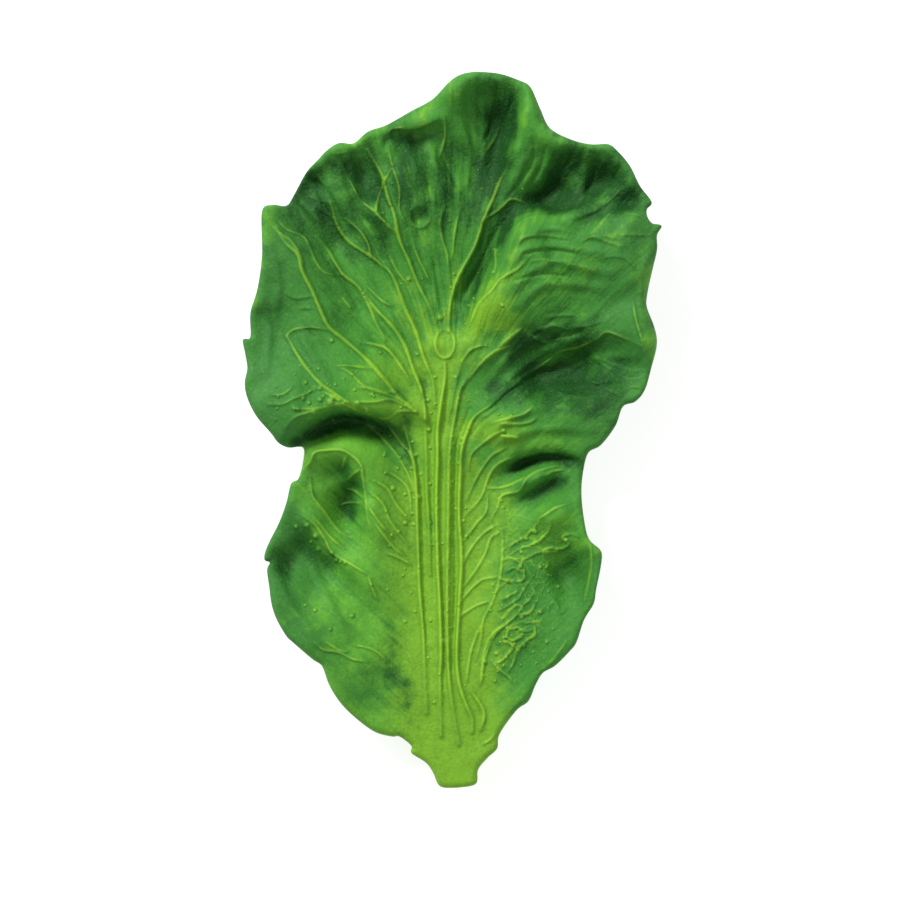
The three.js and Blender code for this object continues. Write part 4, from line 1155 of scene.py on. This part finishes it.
# Many dark strokes lie in the pockets, hollows and creases and under the upper left hem: painted shade and a
# painted shadow there, over the toy's own dark green.
DEEP_STROKES = [
    (0.75, 1.6, 7, [(11.8, 72), (12.6, 66), (11.4, 60), (10, 53)]),
    (0.4, 3, 3, [(-1, 73), (8, 74.5), (14, 73)]),
    (0.5, 2, 2, [(17, 70), (19, 64), (24, 61)]),
    (0.3, 3, 3, [(-20, 60), (-12, 64.5), (-6, 68)]),
    (0.3, 4, 4, [(-10, 56), (-9, 50)]),
    (0.4, 5, 5, [(9, 56), (9, 48)]),
    (0.55, 8, 7, [(17, 54), (26, 52), (36, 50)]),
    (0.8, 1.8, 1.8, [(21.5, 51), (20.5, 46)]),
    (0.7, 1, 1, [(28, 50), (28.5, 47.5)]),
    (0.6, 2, 2, [(33, 55), (34.5, 51)]),
    (0.6, 1, 1, [(38, 50.5), (37.6, 46.5)]),
    (0.35, 3, 3, [(31, 42), (37, 41)]),
    (0.3, 5, 5, [(19, 9), (28, 10), (38, 9)]),
    (0.3, 3, 3, [(24, 22), (34, 22)]),
    (0.6, 3, 4, [(12, 45.5), (18, 48), (30, 47), (36, 47)]),
    (0.5, 5, 5, [(24, 58), (34, 54), (39, 48)]),
    (0.45, 6, 6, [(-35, 44), (-30, 50), (-25, 55)]),
    (0.6, 2, 3.5, [(-22.5, 56), (-21, 50), (-17.5, 44), (-15, 38)]),
    (0.4, 5, 5, [(-28, 46), (-24, 41), (-19, 35)]),
    (0.45, 9, 9, [(-18, 54), (-8, 48), (2, 44)]),
    (0.5, 2, 2.6, [(-26, 29), (-24, 24.5), (-21.5, 21)]),
    (0.35, 1.6, 1.6, [(-31, 20.8), (-26.5, 19.5)]),
    (0.45, 1.8, 1.8, [(-17.5, 18), (-14, 14), (-11, 9.5)]),
    (0.7, 0.9, 0.9, [(-6, 13), (-5.6, 9), (-5.4, 4)]),
    (0.8, 2.6, 3.4, [(12, 16), (16, 19), (21, 19.5), (26, 20)]),
    (0.9, 3, 4.6, [(11, 8), (17, 11), (23, 10), (31, 8)]),
    (0.5, 4, 4, [(22, 4), (28, 6), (34, 9)]),
    (0.35, 5, 5, [(20, 25), (27, 23), (36, 23)]),
    (0.5, 3, 3, [(20, 5.5), (26, 4), (31, 2.5)]),
    # Painted shade along the right crease.
    (1.0, 0.6, 1.5, [(12, -7.6), (16, -6.1), (21, -5.3), (26, -6.4), (27.5, -8)]),
    (0.7, 1.7, 1.7, [(16.5, -12.8), (21, -11), (24.5, -10.6)]),
    (0.5, 1.2, 1.2, [(12, -15.5), (15.5, -14)]),
    (0.35, 12, 12, [(-25, 48), (-8, 52), (8, 50)]),
    (0.5, 4, 5, [(27, 8), (34, 11), (38, 13)]),
    # Painted shadow under the upper left hem.
    (1.0, 0.7, 2, [(-33, -2.5), (-29, -0.3), (-25, 1.7), (-19.5, 2.6)]),
    (0.35, 3, 3, [(3, 14), (8, 16), (13, 18)]),
    (0.6, 3, 3, [(18, 9), (28, 8)]),
    (0.6, 3, 3, [(22, 46.5), (27, 47), (32, 46.5)]),
    (0.3, 4, 4, [(-36, 46), (-34, 42)]),
    (0.25, 3, 4, [(-4, 58), (-3, 50)]),
    (0.3, 1.6, 2, [(-17, -1.5), (-12, -0.5), (-9.5, -2), (-9.5, -7)]),
    (0.3, 1.8, 1.8, [(-20.5, -9), (-20, -12), (-20.3, -15)]),
    (0.4, 1, 1, [(-21.5, -16.5), (-19.5, -20)]),
    (0.35, 1.2, 1.2, [(-10, 7), (-9.5, 3), (-9, -3), (-9, -8)]),
    (0.2, 4, 5, [(-36, -21), (-33, -24), (-28, -28)]),
    (0.6, 1.2, 1.2, [(-38, -28), (-34.5, -30), (-34, -34)]),
    (0.15, 4, 4, [(21, -30), (27, -29)]),
    (0.45, 4, 4, [(-13, -44), (-11, -52), (-9, -60)]),
    (0.2, 7, 8, [(-38, 36), (-36, 28), (-38, 21)]),
    (0.6, 1.4, 1.2, [(3.5, 27), (6, 31.5), (9, 36.5), (12, 42)]),
    (0.5, 1.5, 1.5, [(5, 6), (9, 10), (13, 14)]),
]


# The first stroke is over the net of small veins, and the second over the right lobe.
NET_STROKES = [
    (0.8, 7, 7, [(12, -20), (17, -30), (13, -46)]),
    (0.3, 9, 9, [(20, 30), (30, 38), (34, 48)]),
]
SPRAY_END = 0.7
SPRAY_SOFTENING = 2


def sprayed(strokes):
    """How much of a paint the strokes leave at each place of the grid, from 0 to 1."""
    bare = np.ones(grid_x.shape)
    for strength, left, right, points in strokes:
        bare = bare * (1 - strength * stroke_strength(points, left, right, grid_x, grid_y, SPRAY_END))
    return softened(1 - bare, SPRAY_SOFTENING)


# The relief is how far the face stands above or sinks below its softened self. The paint reads it for a
# painted highlight on the crests and painted shade in the hollows.
RELIEF_PASSES = 60
CREST_HEIGHT = 2.2
relief = (face_grid - softened(face_grid, RELIEF_PASSES)) / CREST_HEIGHT
cast_plan = np.zeros(3 * len(cast_mesh.vertices))
cast_mesh.attributes["plan"].data.foreach_get("vector", cast_plan)
plan_x, plan_y = cast_plan[0::3] / MM, cast_plan[1::3] / MM
coats = {
    "lime": sprayed(LIME_STROKES),
    "deep": sprayed(DEEP_STROKES),
    "net": sprayed(NET_STROKES),
    "relief": relief,
}
for name, grid in coats.items():
    give(cast_mesh, name, "FLOAT", read_grid(grid, plan_x, plan_y))


def paint(red, green, blue):
    """A paint's colour from its screen values, as light."""
    return [((value / 255 + 0.055) / 1.055) ** 2.4 for value in (red, green, blue)] + [1]


MID_GREEN = paint(66, 136, 46)
OUTER_GREEN = paint(60, 124, 50)
DEEP_GREEN = paint(22, 70, 22)
LIME_GREEN = paint(120, 174, 42)
BLADE_LIME = paint(96, 166, 50)
RIDGE_YELLOW = paint(146, 196, 52)
VEIN_SHADE = paint(30, 96, 40)
PATCHES_PER_METRE = 90
SMEARS_PER_METRE = 300
SPECKS_PER_METRE = 1500
PITS_PER_METRE = 1100
GRAIN_PER_METRE = 2600
BRUSH_PER_METRE = (1500, 260, 400)
CELLS_PER_METRE = 330
FINE_CELLS_PER_METRE = 800
CELL_WANDER = 3.5 * MM
CELL_WANDERS_PER_METRE = 250
# Distances from the midrib's middle between which one paint gives way to another.
LIME_TURNS = (6 * MM, 18 * MM)
BLADE_TURNS = (20 * MM, 38 * MM)
GRAIN_STRENGTH = 0.7
GRAIN_DEPTH = 0.15 * MM
SHEEN = 0.2
skin = Wire(rubber.node_tree)
place = skin.node("ShaderNodeTexCoord", {}, {}, "Object")


def attribute(name):
    return skin.node("ShaderNodeAttribute", {"attribute_name": name}, {}, "Fac")


def vector_maths(vector, operation, sockets):
    return vector.node("ShaderNodeVectorMath", {"operation": operation}, {0: vector, **sockets})


def mixed(below, above, amount):
    return skin.node("ShaderNodeMix", {"data_type": "RGBA"}, {0: amount, 6: below, 7: above}, 2)


def cell_walls(per_metre, width):
    """Thin lines between cells of a net, from 0 to 1."""
    sockets = {"Vector": cell_place, "Scale": per_metre}
    walls = skin.node("ShaderNodeTexVoronoi", {"feature": "DISTANCE_TO_EDGE"}, sockets, "Distance")
    return 1 - walls.ramp(0, width)


# Noise of several sizes, from the patches a hand leaves to the rubber's own grain.
patches = place.noise(PATCHES_PER_METRE, 3.0)
smears = place.noise(SMEARS_PER_METRE, 3.0)
specks = place.noise(SPECKS_PER_METRE, 3.0)
pits = place.noise(PITS_PER_METRE, 1.0).ramp(0.1, 0.2)
brushed = vector_maths(place, "MULTIPLY", {1: BRUSH_PER_METRE}).noise(1, 3.0)
grown = streaks(place, STREAKS_PER_METRE)
fine_grown = streaks(place, 3 * STREAKS_PER_METRE)
cell_shift = vector_maths(place.noise(CELL_WANDERS_PER_METRE), "SCALE", {"Scale": CELL_WANDER})
cell_place = vector_maths(place, "ADD", {1: cell_shift})
net_coat = attribute("net")
net = net_coat * (cell_walls(CELLS_PER_METRE, 0.12) * 0.7 + cell_walls(FINE_CELLS_PER_METRE, 0.14) * 0.3)
across = skin.node("ShaderNodeSeparateXYZ", {}, {0: place}, 0)
from_midrib = across.maths("ABSOLUTE", across)
crest = attribute("crest")
relief_wire = attribute("relief")

# The sprayed coats, broken up by the noise: lime first, then dark green. The relief adds lime on the crests,
# a painted highlight, and dark green in the hollows, a painted shade.
breaks = 0.8 * patches + 0.9 * smears + 1.3 * grown + 0.6 * fine_grown
lime = (attribute("lime") + breaks + 0.2 * relief_wire).ramp(0.15, 0.85)
deep = (attribute("deep") - breaks - 0.35 * relief_wire).ramp(0.2, 0.95)
ground = mixed(MID_GREEN, OUTER_GREEN, from_midrib.ramp(*BLADE_TURNS))
lime_coat = mixed(LIME_GREEN, BLADE_LIME, from_midrib.ramp(*LIME_TURNS))
ground = mixed(ground, lime_coat, lime * (1 - 0.4 * deep))
ground = mixed(ground, DEEP_GREEN, deep)

# Painted shade: dark green beside the raised lines, in the grooves and in the net's cells, where shade
# falls, and a dark mottle, random but deeper in the hollows. Dark specks and pits are the rubber's own, and
# yellow green specks stand up out of it.
line_side_shade = (crest.most(0.001) ** 0.35 - crest).most(0) + (-2 * crest).most(0)
ground = mixed(ground, VEIN_SHADE, (line_side_shade * 0.6).least(0.8))
mottle_and_hollow_shade = (0.4 * smears + 0.5 * specks - 0.8 * grown - 0.6 * fine_grown - 0.3 * relief_wire).ramp(-0.1, 0.5)
ground = mixed(ground, DEEP_GREEN, mottle_and_hollow_shade * 0.45)
ground = mixed(ground, VEIN_SHADE, net_coat * 0.35 - 0.35 * net)
ground = mixed(ground, DEEP_GREEN, specks.ramp(0.02, 0.25) * (0.12 + 0.4 * deep))
ground = mixed(ground, RIDGE_YELLOW, (-specks).ramp(0.05, 0.25) * (0.1 + 0.15 * lime))
ground = mixed(ground, DEEP_GREEN, pits * 0.4 * deep)

# Yellow green from a nearly dry brush, in streaks and on the raised lines; on the crests of the folds it is
# also a painted highlight.
dry_brush_and_crest_highlight = (0.6 * relief_wire + 0.6 * brushed + 0.8 * smears + 1.6 * grown + 0.8 * fine_grown).ramp(0.3, 1.2)
ground = mixed(ground, RIDGE_YELLOW, dry_brush_and_crest_highlight * (0.12 + 0.2 * lime))
line_paint = (crest + 1.2 * net + 0.5 * specks + 0.8 * smears + 0.8 * patches).ramp(0.35, 1.25)
colour = mixed(ground, RIDGE_YELLOW, line_paint * (0.4 + 0.35 * lime))

# The surface: a soft sheen, duller in specks, over a fine grain that is roughest in the dark hollows.
roughness = 0.66 + 0.2 * specks - 0.06 * crest
grain = 0.5 * place.noise(GRAIN_PER_METRE) + 0.5 * brushed + 0.8 * specks + net
grain = grain + 1.2 * smears + 2.4 * fine_grown + 2.5 * deep * specks
bump_sockets = {"Strength": GRAIN_STRENGTH, "Distance": GRAIN_DEPTH, "Height": grain}
bumped = skin.node("ShaderNodeBump", {}, bump_sockets)
shader = rubber.node_tree.nodes["Principled BSDF"]
shader.inputs["Specular IOR Level"].default_value = SHEEN
for socket, wire in (("Base Color", colour), ("Roughness", roughness), ("Normal", bumped)):
    rubber.node_tree.links.new(wire.socket, shader.inputs[socket])

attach(leaf, "root")
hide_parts(LEAF_NODE)
